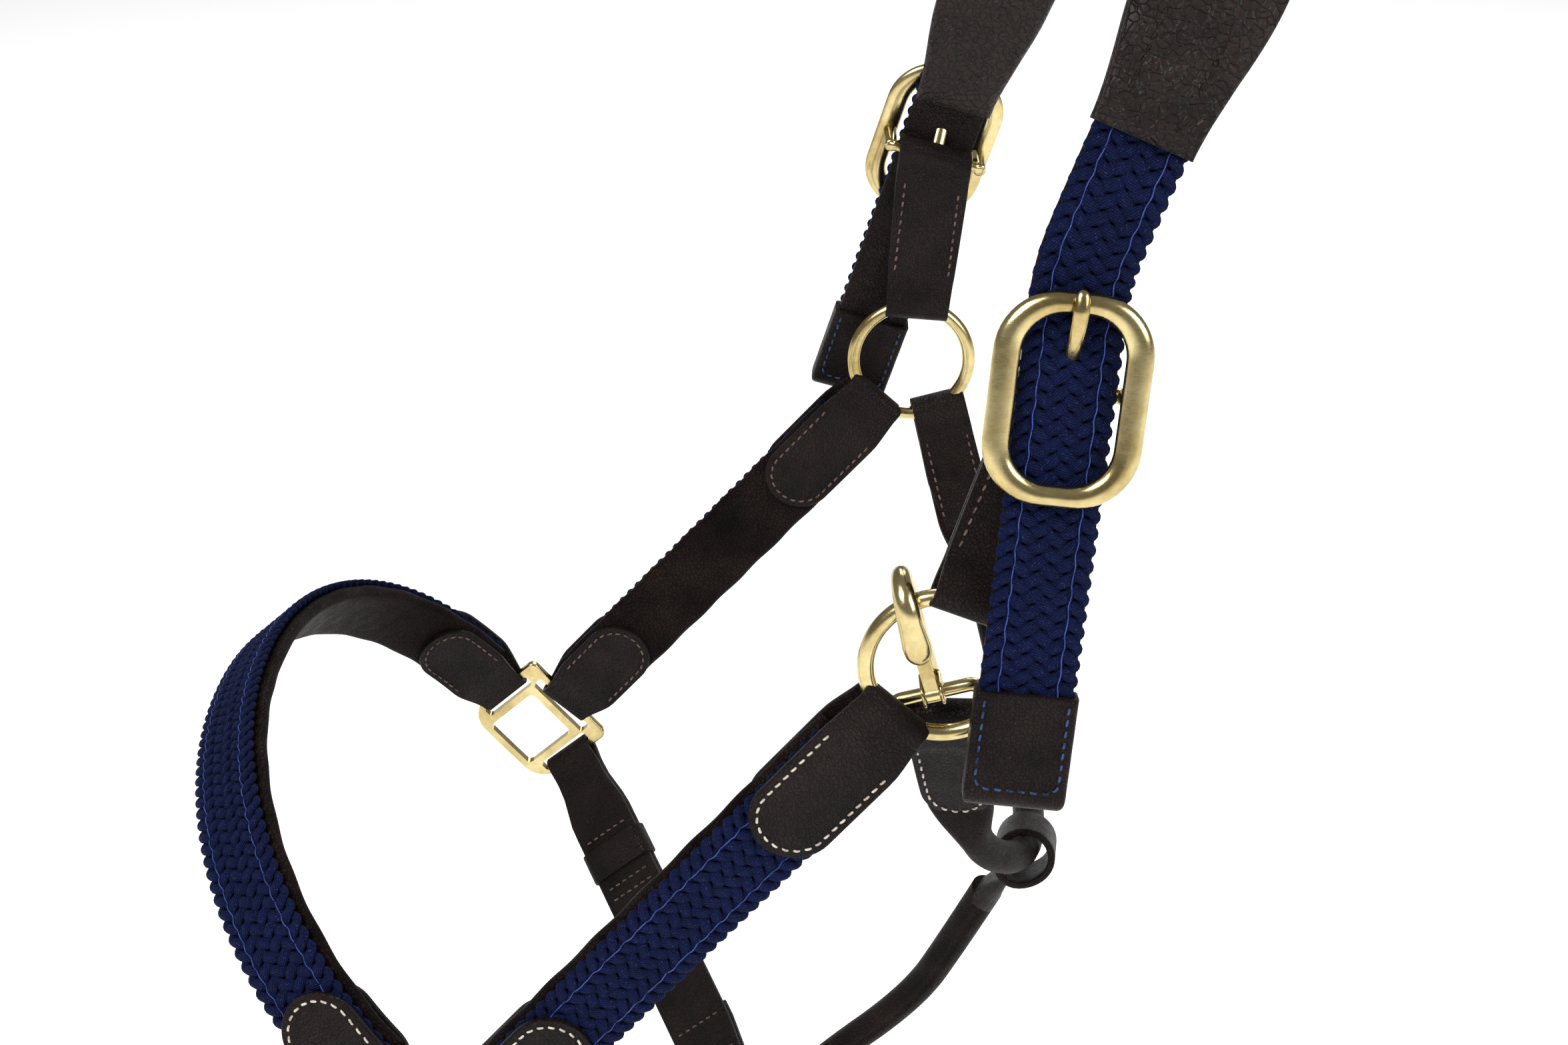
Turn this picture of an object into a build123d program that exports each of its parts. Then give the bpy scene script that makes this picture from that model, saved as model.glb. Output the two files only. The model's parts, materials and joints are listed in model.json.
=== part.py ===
"""Leather headcollar for a horse, as it sits on the head: braided cord straps on leather, brass fittings.

Axes: +X towards the neck, -X towards the nose, -Y the near (left) side, +Y the far side, +Z up.
Origin: the middle of the headpiece's underside, where it rests on the poll behind the ears.
"""
from build123d import *
import os
from math import cos, pi, radians, sin, tan

# ---- Leather, braid and brass stock --------------------------------------------------------------
strap_width = 25.0          # braided straps and the leather under them
braid_thickness = 3.0       # flat braid of seven cords
backing_thickness = 1.6     # thin leather behind the braid of the billets
lining_thickness = 5.0      # padded leather inside the cheekpieces and noseband
lining_margin = 0.9         # how far the padded lining shows past each edge of the braid
tab_thickness = 2.0         # leather of the end tabs that are folded round the fittings
chape_leather = 2.2         # leather of the folded chapes that hold the buckles
flat_leather = 2.4          # leather of the chin straps and throat strap
sewn_gap = 0.05             # space between layers that are sewn together
loose_gap = 0.3             # space between pieces that move on each other
curved_gap = 0.2            # more space between layers that are sewn along a curve
loop_slack = 1.8            # room between the jaw strap's loop and the throat strap in it
ring_wire = 4.6             # brass wire of the cheek rings and the chin ring

# ---- Where the fittings sit ----------------------------------------------------------------------
ring_forward = 88.0         # cheek ring centres, in front of the poll
ring_drop = 215.0           # cheek ring centres, below the poll
ring_half_spacing = 112.0   # each cheek ring from the middle of the head
square_forward = 142.0      # halter squares, in front of the cheek rings
square_drop = 154.4         # halter squares, below the cheek rings
square_half_spacing = 119.2
chin_ring_forward = 62.0    # chin ring, in front of the cheek rings
chin_ring_drop = 250.0      # chin ring, below the cheek rings

# ---- Headpiece and billets -----------------------------------------------------------------------
cover_width = 36.0          # padded part over the poll
cover_thickness = 2.0
foam_width = 30.0
foam_thickness = 6.0
poll_lining_thickness = 1.6
billet_lean_in = 10.0       # degrees that both billets lean towards the head's middle
near_billet_lean_back = 5.5
near_crown_lean_back = 21.0  # the near strap leans further back above its buckle
far_billet_lean_back = 17.0
near_billet_below = 108.0   # end of the strap below the buckle's bar
far_billet_below = 98.0
near_bend_above = 31.0      # where the near strap starts to lean further back, above the buckle's bar
near_pad_from_bend = 35.0   # end of the padding, along the strap from there
far_pad_above = 18.0
far_cover_above = 42.0
crown_start_pull = 0.42     # how straight the strap leaves each side, as a share of its rise
crown_top_pull = 0.5        # how flat it lies over the poll
tip_length = 30.0           # leather cap on each billet
tip_wall = 1.8

# ---- Buckles -------------------------------------------------------------------------------------
buckle_width = strap_width + 15.0  
buckle_length = 54.5
buckle_side = 7.0           # the long sides are broader than the ends
buckle_end = 5.6
buckle_thickness = 4.6
buckle_corner = 16.0
buckle_rounding = 1.8       # rounded edges of the frame
bar_diameter = 4.0
post_width = 4.6            # arms that hold the centre bar behind the frame
tongue_width = 4.0
tongue_thickness = 2.6
tongue_fit = 0.1
tongue_eye_wall = 1.7
tongue_exit = 13.0          # the tongue comes out of the strap this far above the bar
tongue_tip_past = 3.5       # its tip, past the middle of the end bar
tongue_slot_from = 2.0      # opening in the strap for the tongue, above the bar
tongue_slot_length = 14.0
chape_slot_length = 21.0    # opening in the chape for the tongue
chape_slot_above = 1.5      # its middle, above the bar
tongue_lift = 15.0          # degrees that the tongue can lift with the strap done up
near_bar_back = 28.5        # buckle bars, behind and above the ring centres
near_bar_up = 74.0
far_bar_back = 5.9
far_bar_up = 76.0
bar_inward = 9.0            # buckle bars, nearer the head's middle than the rings

# ---- Rings and squares ---------------------------------------------------------------------------
cheek_ring_outer = 45.0
chin_ring_outer = 50.0
square_rise = 49.2          # degrees that the noseband rises forward from the squares
square_opening = 22.0
square_bar = 2.8
square_slot = 4.2
square_thickness = 3.2
square_corner = 10.0        # rounded corner at the front
square_opening_corner = 2.0
square_slot_corner = 1.2
square_rounding = 0.8       # rounded outer edges
square_slot_shift = 3.2     # middle of the side slots, from the square's centre towards the ring
slot_ease = 2.0             # each slot is this much longer than its strap is wide
end_width = 20.0            # straps narrowed to fit the squares' side slots
ring_end_width = 22.0       # straps narrowed where they turn round a ring

# ---- Cheekpieces, noseband and chin straps -------------------------------------------------------
upper_tab_length = 50.0
lower_tab_length = 42.0
nose_tab_length = 40.0
tab_point = 12.0            # rounded point of each tab
ring_fold = 12.0            # length of the fold before the layers start, at a ring
square_fold = 10.0          # and at a square
chape_sewn_from = 13.0      # the chape's faces meet from here, measured from the ring's wire
chape_sewn_to = 12.0        # to here, measured from the buckle's bar
noseband_height = 95.0      # from the squares' line to the band over the nose
noseband_fullness = 0.95    # 1 is an ellipse, less is squarer
chin_double = 62.0          # doubled part of the chin strap below the square
chin_ring_double = 30.0     # doubled part above the chin ring
fold_trim = 0.6             # leather pared off the fold inside the square's slot
keeper_from = 38.0          # keeper's place along the chin strap
keeper_length = 12.0
keeper_thickness = 1.8

# ---- Throat strap, jaw strap and snap hook -------------------------------------------------------
rolled_diameter = 10.0      # rolled leather
throat_width = 20.0         # flat ends of the throat strap
jaw_loop_width = 18.0
jaw_sag = 6.0               # how far the jaw strap hangs back and down from a straight line
snap_wire = 6.0
snap_bow = 7.5              # middle radius of the snap's hook
snap_shank = 34.0
snap_beak = 15.0
snap_eye_height = 12.0
snap_eye_wire = 4.0
snap_lean_forward = 13.0    # how far the snap leans in 50 mm of its height
snap_lean_out = 7.0
snap_turn = 118.0           # degrees round the near ring, from the back, where the snap hangs
gate_thickness = 1.8
gate_width = 5.0
gate_pin = 2.0
gate_pin_up = 4.0           # the gate's pin, above the foot of the shank
gate_pin_fit = 0.05
gate_eye_wall = 1.2
gate_side_wall = 0.7        # brass beside the gate in the snap's knuckle

NEAR = -1
FAR = 1
PAD_STATION = 3             # the padding starts at this station of the crown
RING_AXIS = Vector(-ring_forward, 0, -ring_drop)
BILLET_THICKNESS = braid_thickness + sewn_gap + backing_thickness
CHEEK_RING_RADIUS = (cheek_ring_outer - ring_wire) / 2
CHIN_RING_RADIUS = (chin_ring_outer - ring_wire) / 2
BAR_WRAP = bar_diameter / 2 + loose_gap + chape_leather
BILLET_OUT = BAR_WRAP + loose_gap + BILLET_THICKNESS / 2
FRAME_OUT = BILLET_OUT + BILLET_THICKNESS / 2 + loose_gap + buckle_thickness / 2
RING_WRAP = ring_wire / 2 + loose_gap + chape_leather
STACK = (braid_thickness + lining_thickness + 2 * tab_thickness + 3 * sewn_gap) / 2
SQUARE_WRAP = square_thickness / 2 + loose_gap + tab_thickness
SQUARE_BAR_AT = square_opening / 2 + square_bar + square_slot + square_bar / 2
SNAP_LEAN_HEIGHT = 50.0
ROOT_SHARE = 0.45           # half size of a flat root inside rolled leather, as a share of its diameter
MUZZLEWARD = Vector(-sin(radians(square_rise)), 0, -cos(radians(square_rise)))
NOSEWARD = Vector(-cos(radians(square_rise)), 0, sin(radians(square_rise)))
NOSE_START = 0.105          # turn of the noseband at which its layers leave the tab's fold, in radians
NOSE_SHORT = 0.0005         # the fold ends this much before them
ACROSS_HEAD = Vector(0, 1, 0)
BACKWARD = Vector(1, 0, 0)


# ---- Points and directions -----------------------------------------------------------------------
def square_to(direction, along):
    """The part of a direction that is square to another, made unit length."""
    return (direction - along * direction.dot(along)).normalized()


def ring_centre(side):
    return RING_AXIS + ACROSS_HEAD * (side * ring_half_spacing)


def ring_point(side, degrees):
    """A point on the middle of a cheek ring's wire, measured from the back, upwards."""
    angle = radians(degrees)
    return ring_centre(side) + Vector(cos(angle), 0, sin(angle)) * CHEEK_RING_RADIUS


def square_centre(side):
    return RING_AXIS + Vector(-square_forward, side * square_half_spacing, -square_drop)


def chin_ring_centre():
    return RING_AXIS + Vector(-chin_ring_forward, 0, -chin_ring_drop)


def bar_centre(side):
    back = near_bar_back if side == NEAR else far_bar_back
    rise = near_bar_up if side == NEAR else far_bar_up
    return ring_centre(side) + Vector(back, -side * bar_inward, rise)


def billet_up(side):
    lean_back = near_billet_lean_back if side == NEAR else far_billet_lean_back
    return Vector(tan(radians(lean_back)), -side * tan(radians(billet_lean_in)), 1).normalized()


def crown_up(side):
    """The direction in which the strap leaves its straight part towards the poll."""
    lean_back = near_crown_lean_back if side == NEAR else far_billet_lean_back
    return Vector(tan(radians(lean_back)), -side * tan(radians(billet_lean_in)), 1).normalized()


def billet_frame(side):
    """Directions of a billet and its buckle: across the strap, along it upwards, and outwards."""
    up = billet_up(side)
    across = square_to(BACKWARD, up)
    outward = across.cross(up) * (1 if side == NEAR else -1)
    return across, up, outward


def billet_point(side, above):
    """A point on the middle of a billet, at a distance above the buckle's bar."""
    across, up, outward = billet_frame(side)
    return bar_centre(side) + outward * BILLET_OUT + up * above


# ---- Straps as bands of flat sections ------------------------------------------------------------
def section(centre, across, normal, half_width, low, high):
    """A rectangle of strap: half its width each way, from low to high along the normal."""
    side_step = across * half_width
    corners = [
        centre - side_step + normal * low,
        centre + side_step + normal * low,
        centre + side_step + normal * high,
        centre - side_step + normal * high,
    ]
    return Wire.make_polygon(corners, close=True)


def band(sections):
    return Solid.make_loft(sections, ruled=True)


def straight_band(start, along, across, normal, profile):
    """A strap on a straight line. Each profile row is: distance, half width, low, high."""
    return band([section(start + along * s, across, normal, *row) for s, *row in profile])


def rounded_end(reach, point, half, steps=5):
    """Distances and half widths of a rounded tab end: a half ellipse over the last stretch."""
    rows = []
    for step in range(steps):
        turn = step / steps * pi / 2
        rows.append((reach - point + point * sin(turn), half * cos(turn)))
    rows.append((reach, half * 0.12))
    return rows


def torus(centre, normal, radius, wire):
    """A ring of round wire about a centre."""
    return Solid.make_torus(radius, wire / 2, Plane(origin=centre, z_dir=normal))


def block(centre, across, up, width, height, depth):
    """A box about a centre: width along across, height along up, depth square to both."""
    return Plane(origin=centre, x_dir=across, z_dir=across.cross(up)) * Box(width, height, depth)


def rod(centre, axis, diameter, length):
    return Plane(origin=centre, z_dir=axis) * Cylinder(diameter / 2, length)


# ---- Crown: headpiece, braid and billets ---------------------------------------------------------
def crown_top():
    rise = foam_thickness + poll_lining_thickness + BILLET_THICKNESS / 2 + 2 * sewn_gap
    return Vector(0, 0, rise)


def crown_start(side):
    """Where the strap's straight part ends on each side."""
    return billet_point(side, near_bend_above if side == NEAR else far_cover_above)


def crown_point(t):
    """The middle of the braid over the poll: two Bezier curves that meet level at the top, t from -1 to 1."""
    side = NEAR if t < 0 else FAR
    start = crown_start(side)
    top = crown_top()
    rise = (top - start).length
    first = start + crown_up(side) * (crown_start_pull * rise)
    second = top + ACROSS_HEAD * (side * crown_top_pull * rise)
    k = 1 - abs(t)
    return (
        start * (1 - k) ** 3
        + first * (3 * k * (1 - k) ** 2)
        + second * (3 * k * k * (1 - k))
        + top * k**3
    )


def crown_turns():
    """Values of t at the crown's stations: the near bend, the near end of the padding, then even steps."""
    rise = (crown_top() - crown_start(NEAR)).length
    pad_start = near_pad_from_bend / (3 * crown_start_pull * rise) - 1
    steps = 19
    return [-1, (pad_start - 1) / 2] + [pad_start + (1 - pad_start) * i / steps for i in range(steps + 1)]


def crown_stations():
    """Centre, across and outward at each station of the crown, from the near tip to the far tip."""
    small = 0.001
    near_across, near_up, near_out = billet_frame(NEAR)
    far_across, far_up, far_out = billet_frame(FAR)
    rows = [(billet_point(NEAR, -near_billet_below), near_across, near_out)]
    for t in crown_turns():
        along = (crown_point(min(t + small, 1)) - crown_point(max(t - small, -1))).normalized()
        if t == -1:
            along = (along + near_up).normalized()
        across = square_to(BACKWARD, along)
        rows.append((crown_point(t), across, across.cross(along)))
    rows.append((billet_point(FAR, far_pad_above), far_across, far_out))
    rows.append((billet_point(FAR, -far_billet_below), far_across, far_out))
    return rows


def crown_band(first, last, width, low, high):
    rows = crown_stations()[first:last]
    return band([section(c, across, out, width / 2, low, high) for c, across, out in rows])


def tongue_slot(side):
    """The opening that a buckle's tongue passes through, with room for its lift."""
    across, up, outward = billet_frame(side)
    middle = billet_point(side, tongue_slot_from + tongue_slot_length / 2)
    return block(middle, across, up, tongue_width + 2 * loose_gap, tongue_slot_length, 2 * BILLET_OUT)


def crown_braid():
    half = BILLET_THICKNESS / 2
    strap = crown_band(0, None, strap_width, half - braid_thickness, half)
    return strap - tongue_slot(NEAR) - tongue_slot(FAR)


def crown_backing():
    half = BILLET_THICKNESS / 2
    strap = crown_band(0, None, strap_width - 1, -half, -half + backing_thickness)
    return strap - tongue_slot(NEAR) - tongue_slot(FAR)


def headpiece_cover():
    low = BILLET_THICKNESS / 2 + sewn_gap
    return crown_band(PAD_STATION, -2, cover_width, low, low + cover_thickness)


def headpiece_foam():
    high = -BILLET_THICKNESS / 2 - sewn_gap
    return crown_band(PAD_STATION, -1, foam_width, high - foam_thickness, high)


def headpiece_lining():
    high = -BILLET_THICKNESS / 2 - 2 * sewn_gap - foam_thickness
    return crown_band(PAD_STATION, -1, cover_width, high - poll_lining_thickness, high)


def billet_tip(side):
    """Leather cap sewn over the end of a billet, open at its upper end."""
    across, up, outward = billet_frame(side)
    below = near_billet_below if side == NEAR else far_billet_below
    end = billet_point(side, -below)
    width = strap_width + 2 * sewn_gap
    depth = BILLET_THICKNESS + 2 * sewn_gap
    centre = end + up * (tip_length / 2 - tip_wall)
    cap = block(centre, across, up, width + 2 * tip_wall, tip_length, depth + 2 * tip_wall)
    pocket = block(end + up * (tip_length / 2 - sewn_gap), across, up, width, tip_length, depth)
    return cap - pocket


# ---- Buckles -------------------------------------------------------------------------------------
def buckle_frame(side):
    across, up, outward = billet_frame(side)
    bar = bar_centre(side)
    face = Plane(origin=bar + outward * FRAME_OUT, x_dir=across, z_dir=outward)
    inner_width = buckle_width - 2 * buckle_side
    outline = RectangleRounded(buckle_width, buckle_length, buckle_corner)
    window = RectangleRounded(inner_width, buckle_length - 2 * buckle_end, buckle_corner - buckle_end)
    frame = extrude(outline - window, buckle_thickness / 2, both=True)
    frame = fillet(frame.edges().filter_by(Plane.XY), buckle_rounding)
    frame = face * frame
    post_at = inner_width / 2 + post_width / 2 + loose_gap
    depth = FRAME_OUT + bar_diameter / 2
    for end in (-1, 1):
        middle = bar + across * (end * post_at) + outward * (depth / 2 - bar_diameter / 2)
        frame += block(middle, across, up, post_width, bar_diameter, depth)
    return frame + rod(bar, across, bar_diameter, 2 * post_at)


def tongue_outline():
    """Side view of a tongue, along the strap and outwards from the bar: out through it, over the end bar."""
    end_bar = (buckle_length - buckle_end) / 2
    over = FRAME_OUT + buckle_thickness / 2 + loose_gap / 2 + tongue_thickness / 2
    line = [
        (0, 0),
        (tongue_exit, BILLET_OUT + BILLET_THICKNESS / 2),
        (end_bar - tongue_tip_past / 2, over),
        (end_bar + tongue_tip_past, over + loose_gap),
    ]
    half = tongue_thickness / 2
    upper = []
    lower = []
    for i, (x, y) in enumerate(line):
        before = line[max(i - 1, 0)]
        after = line[min(i + 1, len(line) - 1)]
        run = Vector(after[0] - before[0], after[1] - before[1], 0).normalized()
        upper.append((x - run.Y * half, y + run.X * half))
        lower.append((x + run.Y * half, y - run.X * half))
    return upper + lower[::-1]


def buckle_tongue(side):
    across, up, outward = billet_frame(side)
    bar = bar_centre(side)
    flat = Plane(origin=bar, x_dir=up, z_dir=up.cross(outward))
    shank = extrude(make_face(Polyline(*tongue_outline(), close=True)), tongue_width / 2, both=True)
    eye_outer = bar_diameter + 2 * tongue_fit + 2 * tongue_eye_wall
    tongue = flat * shank + rod(bar, across, eye_outer, tongue_width)
    return tongue - rod(bar, across, bar_diameter + 2 * tongue_fit, 2 * tongue_width)


def chape(side):
    """Folded leather that holds a buckle to its cheek ring, with a slot for the tongue."""
    across_bar, up_bar, outward = billet_frame(side)
    bar = bar_centre(side)
    rise = bar - ring_centre(side)
    turn = Vector(rise.X, 0, rise.Z).normalized()
    start = ring_centre(side) + turn * CHEEK_RING_RADIUS
    along = (bar - start).normalized()
    length = (bar - start).length
    across_ring = square_to(Vector(turn.Z, 0, -turn.X), along)
    double = chape_leather + sewn_gap / 2
    rows = [
        (-7.5, RING_WRAP),
        (RING_WRAP, RING_WRAP),
        (chape_sewn_from, double),
        (length - chape_sewn_to, double),
        (length - BAR_WRAP, BAR_WRAP),
        (length + BAR_WRAP, BAR_WRAP),
    ]
    sections = []
    for s, half in rows:
        share = min(max(s / length, 0), 1)
        across = (across_ring * (1 - share) + across_bar * share).normalized()
        normal = across.cross(along) * (1 if side == NEAR else -1)
        width = ring_end_width + (strap_width - ring_end_width) * share
        sections.append(section(start + along * s, across, normal, width / 2, -half, half))
    strap = band(sections)
    strap -= torus(ring_centre(side), ACROSS_HEAD, CHEEK_RING_RADIUS, ring_wire + 2 * loose_gap)
    strap -= rod(bar, across_bar, bar_diameter + 2 * loose_gap, 2 * strap_width)
    slot_width = tongue_width + 2 * loose_gap
    return strap - block(
        bar + up_bar * chape_slot_above, across_bar, up_bar, slot_width, chape_slot_length, 6 * BAR_WRAP)


# ---- Halter squares ------------------------------------------------------------------------------
def square_blank():
    """A halter square in its own plane: X towards the muzzle, Y towards the nose, with three strap slots."""
    reach = SQUARE_BAR_AT + square_bar / 2
    front = square_opening / 2 + square_bar
    depth = front + reach
    plate = Pos((front - reach) / 2, 0) * Rectangle(depth, 2 * reach)
    plate = fillet(plate.vertices().group_by(Axis.X)[-1], square_corner)
    plate = fillet(plate.vertices().group_by(Axis.X)[0], square_bar)
    plate -= RectangleRounded(square_opening, square_opening, square_opening_corner)
    slot_at = square_opening / 2 + square_bar + square_slot / 2
    plate -= Pos(-slot_at, 0) * RectangleRounded(
        square_slot, strap_width + slot_ease, square_slot_corner)
    for end in (-1, 1):
        side_slot = RectangleRounded(end_width + slot_ease, square_slot, square_slot_corner)
        plate -= Pos(-square_slot_shift, end * slot_at) * side_slot
    body = extrude(plate, square_thickness / 2, both=True)
    rims = [body.faces().sort_by(Axis.Z)[end].outer_wire().edges() for end in (0, -1)]
    return fillet(rims[0] + rims[1], square_rounding)


def halter_square(side):
    place = Plane(origin=square_centre(side), x_dir=MUZZLEWARD, z_dir=MUZZLEWARD.cross(NOSEWARD))
    return place * square_blank()


def square_bar_cut(side, direction):
    """The space of one outer bar of a square, with room round it, in a direction from its centre."""
    centre = square_centre(side) + direction * SQUARE_BAR_AT
    along = direction.cross(ACROSS_HEAD)
    room = 2 * loose_gap
    return block(centre, along, direction, 3 * strap_width, square_bar + room, square_thickness + room)


# ---- Cheekpieces ---------------------------------------------------------------------------------
def cheek_line(side):
    """Start on the ring's wire, end on the square's bar, and the directions along, across and outward."""
    down = square_centre(side) - ring_centre(side)
    turn = Vector(down.X, 0, down.Z).normalized()
    start = ring_centre(side) + turn * CHEEK_RING_RADIUS
    end = square_centre(side) - MUZZLEWARD * SQUARE_BAR_AT
    along = (end - start).normalized()
    outward = square_to(ACROSS_HEAD * side, along)
    across = along.cross(outward)
    return start, end, along, across, outward


def layer_levels():
    """Heights through a tabbed strap, from the inside out: inner tab, lining, braid, outer tab."""
    inner = -STACK + tab_thickness
    lining = (inner + sewn_gap, inner + sewn_gap + lining_thickness)
    braid = (lining[1] + sewn_gap, lining[1] + sewn_gap + braid_thickness)
    return inner, lining, braid, braid[1] + sewn_gap


def cheek_layer(side, half_width, level):
    start, end, along, across, outward = cheek_line(side)
    length = (end - start).length
    low, high = level
    rows = [(ring_fold, half_width, low, high), (length - square_fold, half_width, low, high)]
    return straight_band(start, along, across, outward, rows)


def tab(start, along, across, outward, root, reach, root_wrap, half_root):
    """A tab folded round a fitting: a block at the fold and a leaf on each face with a rounded point."""
    inner, lining, braid, outer = layer_levels()
    half = strap_width / 2
    fold = straight_band(start, along, across, outward, [
        (-root_wrap, half_root, -root_wrap, root_wrap),
        (root_wrap * 0.6, half_root, -root_wrap, root_wrap),
        (root - sewn_gap, half, -STACK, STACK),
    ])
    body = [fold]
    for low, high in ((-STACK, inner), (outer, STACK)):
        rows = [(root - sewn_gap, half, low, high)]
        rows += [(s, h, low, high) for s, h in rounded_end(reach, tab_point, half)]
        body.append(straight_band(start, along, across, outward, rows))
    return body[0] + body[1] + body[2]


def cheek_upper_tab(side):
    start, end, along, across, outward = cheek_line(side)
    leather = tab(start, along, across, outward, ring_fold, upper_tab_length, RING_WRAP, ring_end_width / 2)
    return leather - torus(ring_centre(side), ACROSS_HEAD, CHEEK_RING_RADIUS, ring_wire + 2 * loose_gap)


def cheek_lower_tab(side):
    start, end, along, across, outward = cheek_line(side)
    root_half = strap_width / 2
    leather = tab(end, along * -1, across, outward, square_fold, lower_tab_length, SQUARE_WRAP, root_half)
    return leather - square_bar_cut(side, MUZZLEWARD * -1)


# ---- Noseband ------------------------------------------------------------------------------------
def nose_point(turn):
    """The noseband's middle line: a flattened ellipse over the nose, turn from 0 (far) to pi (near)."""
    base = square_centre(FAR)
    reach = noseband_height * abs(sin(turn)) ** noseband_fullness
    side = 1 if cos(turn) >= 0 else -1
    spread = square_half_spacing * side * abs(cos(turn)) ** noseband_fullness
    middle = Vector(base.X, spread, base.Z) - MUZZLEWARD * square_slot_shift
    return middle + NOSEWARD * (reach + SQUARE_BAR_AT)


def nose_station(turn, side_width, low, high):
    small = 0.002
    along = nose_point(min(turn + small, pi)) - nose_point(max(turn - small, 0))
    outward = MUZZLEWARD.cross(along).normalized()
    return section(nose_point(turn), MUZZLEWARD, outward, side_width, low, high)


def nose_turns(first, last, steps):
    return [first + (last - first) * i / steps for i in range(steps + 1)]


def nose_layer(half_width, level):
    low, high = level
    return band([nose_station(t, half_width, low, high) for t in nose_turns(NOSE_START, pi - NOSE_START, 28)])


def nose_tab(side):
    """A tab folded round a square's front bar, whose leaves follow the noseband."""
    inner, lining, braid, outer = layer_levels()
    half = strap_width / 2
    reach = nose_tab_length / noseband_height
    body = None
    for low, high in ((-STACK - curved_gap, inner - curved_gap), (outer + curved_gap, STACK + curved_gap)):
        rows = [(NOSE_START - NOSE_SHORT, half)]
        rows += [(NOSE_START + (reach - NOSE_START) * 0.35, half)]
        rows += rounded_end(reach, tab_point / noseband_height, half)
        if side == NEAR:
            rows = [(pi - turn, width) for turn, width in rows]
        leaf = band([nose_station(turn, width, low, high) for turn, width in rows])
        body = leaf if body is None else body + leaf
    start = square_centre(side) + NOSEWARD * SQUARE_BAR_AT - MUZZLEWARD * square_slot_shift
    root = NOSE_START - NOSE_SHORT if side == FAR else pi - NOSE_START + NOSE_SHORT
    bend = [
        section(start - NOSEWARD * SQUARE_WRAP, MUZZLEWARD, ACROSS_HEAD * side, end_width / 2,
                -SQUARE_WRAP, SQUARE_WRAP),
        section(start + NOSEWARD * 1.5, MUZZLEWARD, ACROSS_HEAD * side, end_width / 2,
                -SQUARE_WRAP, SQUARE_WRAP),
        nose_station(root, half, -STACK - curved_gap, STACK + curved_gap),
    ]
    return band(bend) + body - square_bar_cut(side, NOSEWARD)


# ---- Chin straps and chin ring -------------------------------------------------------------------
def chin_line(side):
    """Start on the square's rear bar, end on the chin ring's wire, with along, across and outward."""
    start = square_centre(side) - NOSEWARD * SQUARE_BAR_AT - MUZZLEWARD * square_slot_shift
    end = chin_ring_centre() + ACROSS_HEAD * (side * CHIN_RING_RADIUS)
    along = (end - start).normalized()
    across = square_to(MUZZLEWARD, along)
    outward = along.cross(across)
    if outward.Y * side < 0:
        outward = outward * -1
    return start, end, along, across, outward


def chin_strap(side):
    start, end, along, across, outward = chin_line(side)
    length = (end - start).length
    half = strap_width / 2
    narrow = end_width / 2
    double = flat_leather + sewn_gap / 2
    rows = [
        (fold_trim - SQUARE_WRAP, narrow, -SQUARE_WRAP, SQUARE_WRAP),
        (4.0, narrow, -SQUARE_WRAP, SQUARE_WRAP),
        (14.0, half, -double, double),
        (chin_double, half, -double, double),
        (chin_double + 4.0, half, -double, -double + flat_leather),
        (length - chin_ring_double - 4.0, half, -double, -double + flat_leather),
        (length - chin_ring_double, half, -double, double),
        (length - 12.0, half, -double, double),
        (length - 4.0, narrow, -RING_WRAP, RING_WRAP),
        (length + RING_WRAP, narrow, -RING_WRAP, RING_WRAP),
    ]
    strap = straight_band(start, along, across, outward, rows)
    strap -= square_bar_cut(side, NOSEWARD * -1)
    return strap - chin_ring_torus(ring_wire + 2 * loose_gap)


def chin_keeper(side):
    start, end, along, across, outward = chin_line(side)
    inside_width = strap_width + 2 * sewn_gap
    inside_depth = 2 * (flat_leather + sewn_gap / 2) + 2 * sewn_gap
    centre = start + along * (keeper_from + keeper_length / 2)
    width = inside_width + 2 * keeper_thickness
    depth = inside_depth + 2 * keeper_thickness
    sleeve = block(centre, across, along, width, keeper_length, depth)
    return sleeve - block(centre, across, along, inside_width, 2 * keeper_length, inside_depth)


def chin_ring_torus(wire):
    return torus(chin_ring_centre(), MUZZLEWARD.cross(ACROSS_HEAD), CHIN_RING_RADIUS, wire)


# ---- Snap hook -----------------------------------------------------------------------------------
def snap_frame():
    """The snap's place: the hook's centre on the ring's wire, and its axes upwards and outwards."""
    upward = Vector(-snap_lean_forward, -snap_lean_out, SNAP_LEAN_HEIGHT).normalized()
    outward = square_to(ACROSS_HEAD * NEAR, upward)
    return ring_point(NEAR, snap_turn), upward, outward


def snap_plane():
    hook, upward, outward = snap_frame()
    return Plane(origin=hook, x_dir=outward, z_dir=outward.cross(upward))


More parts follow.
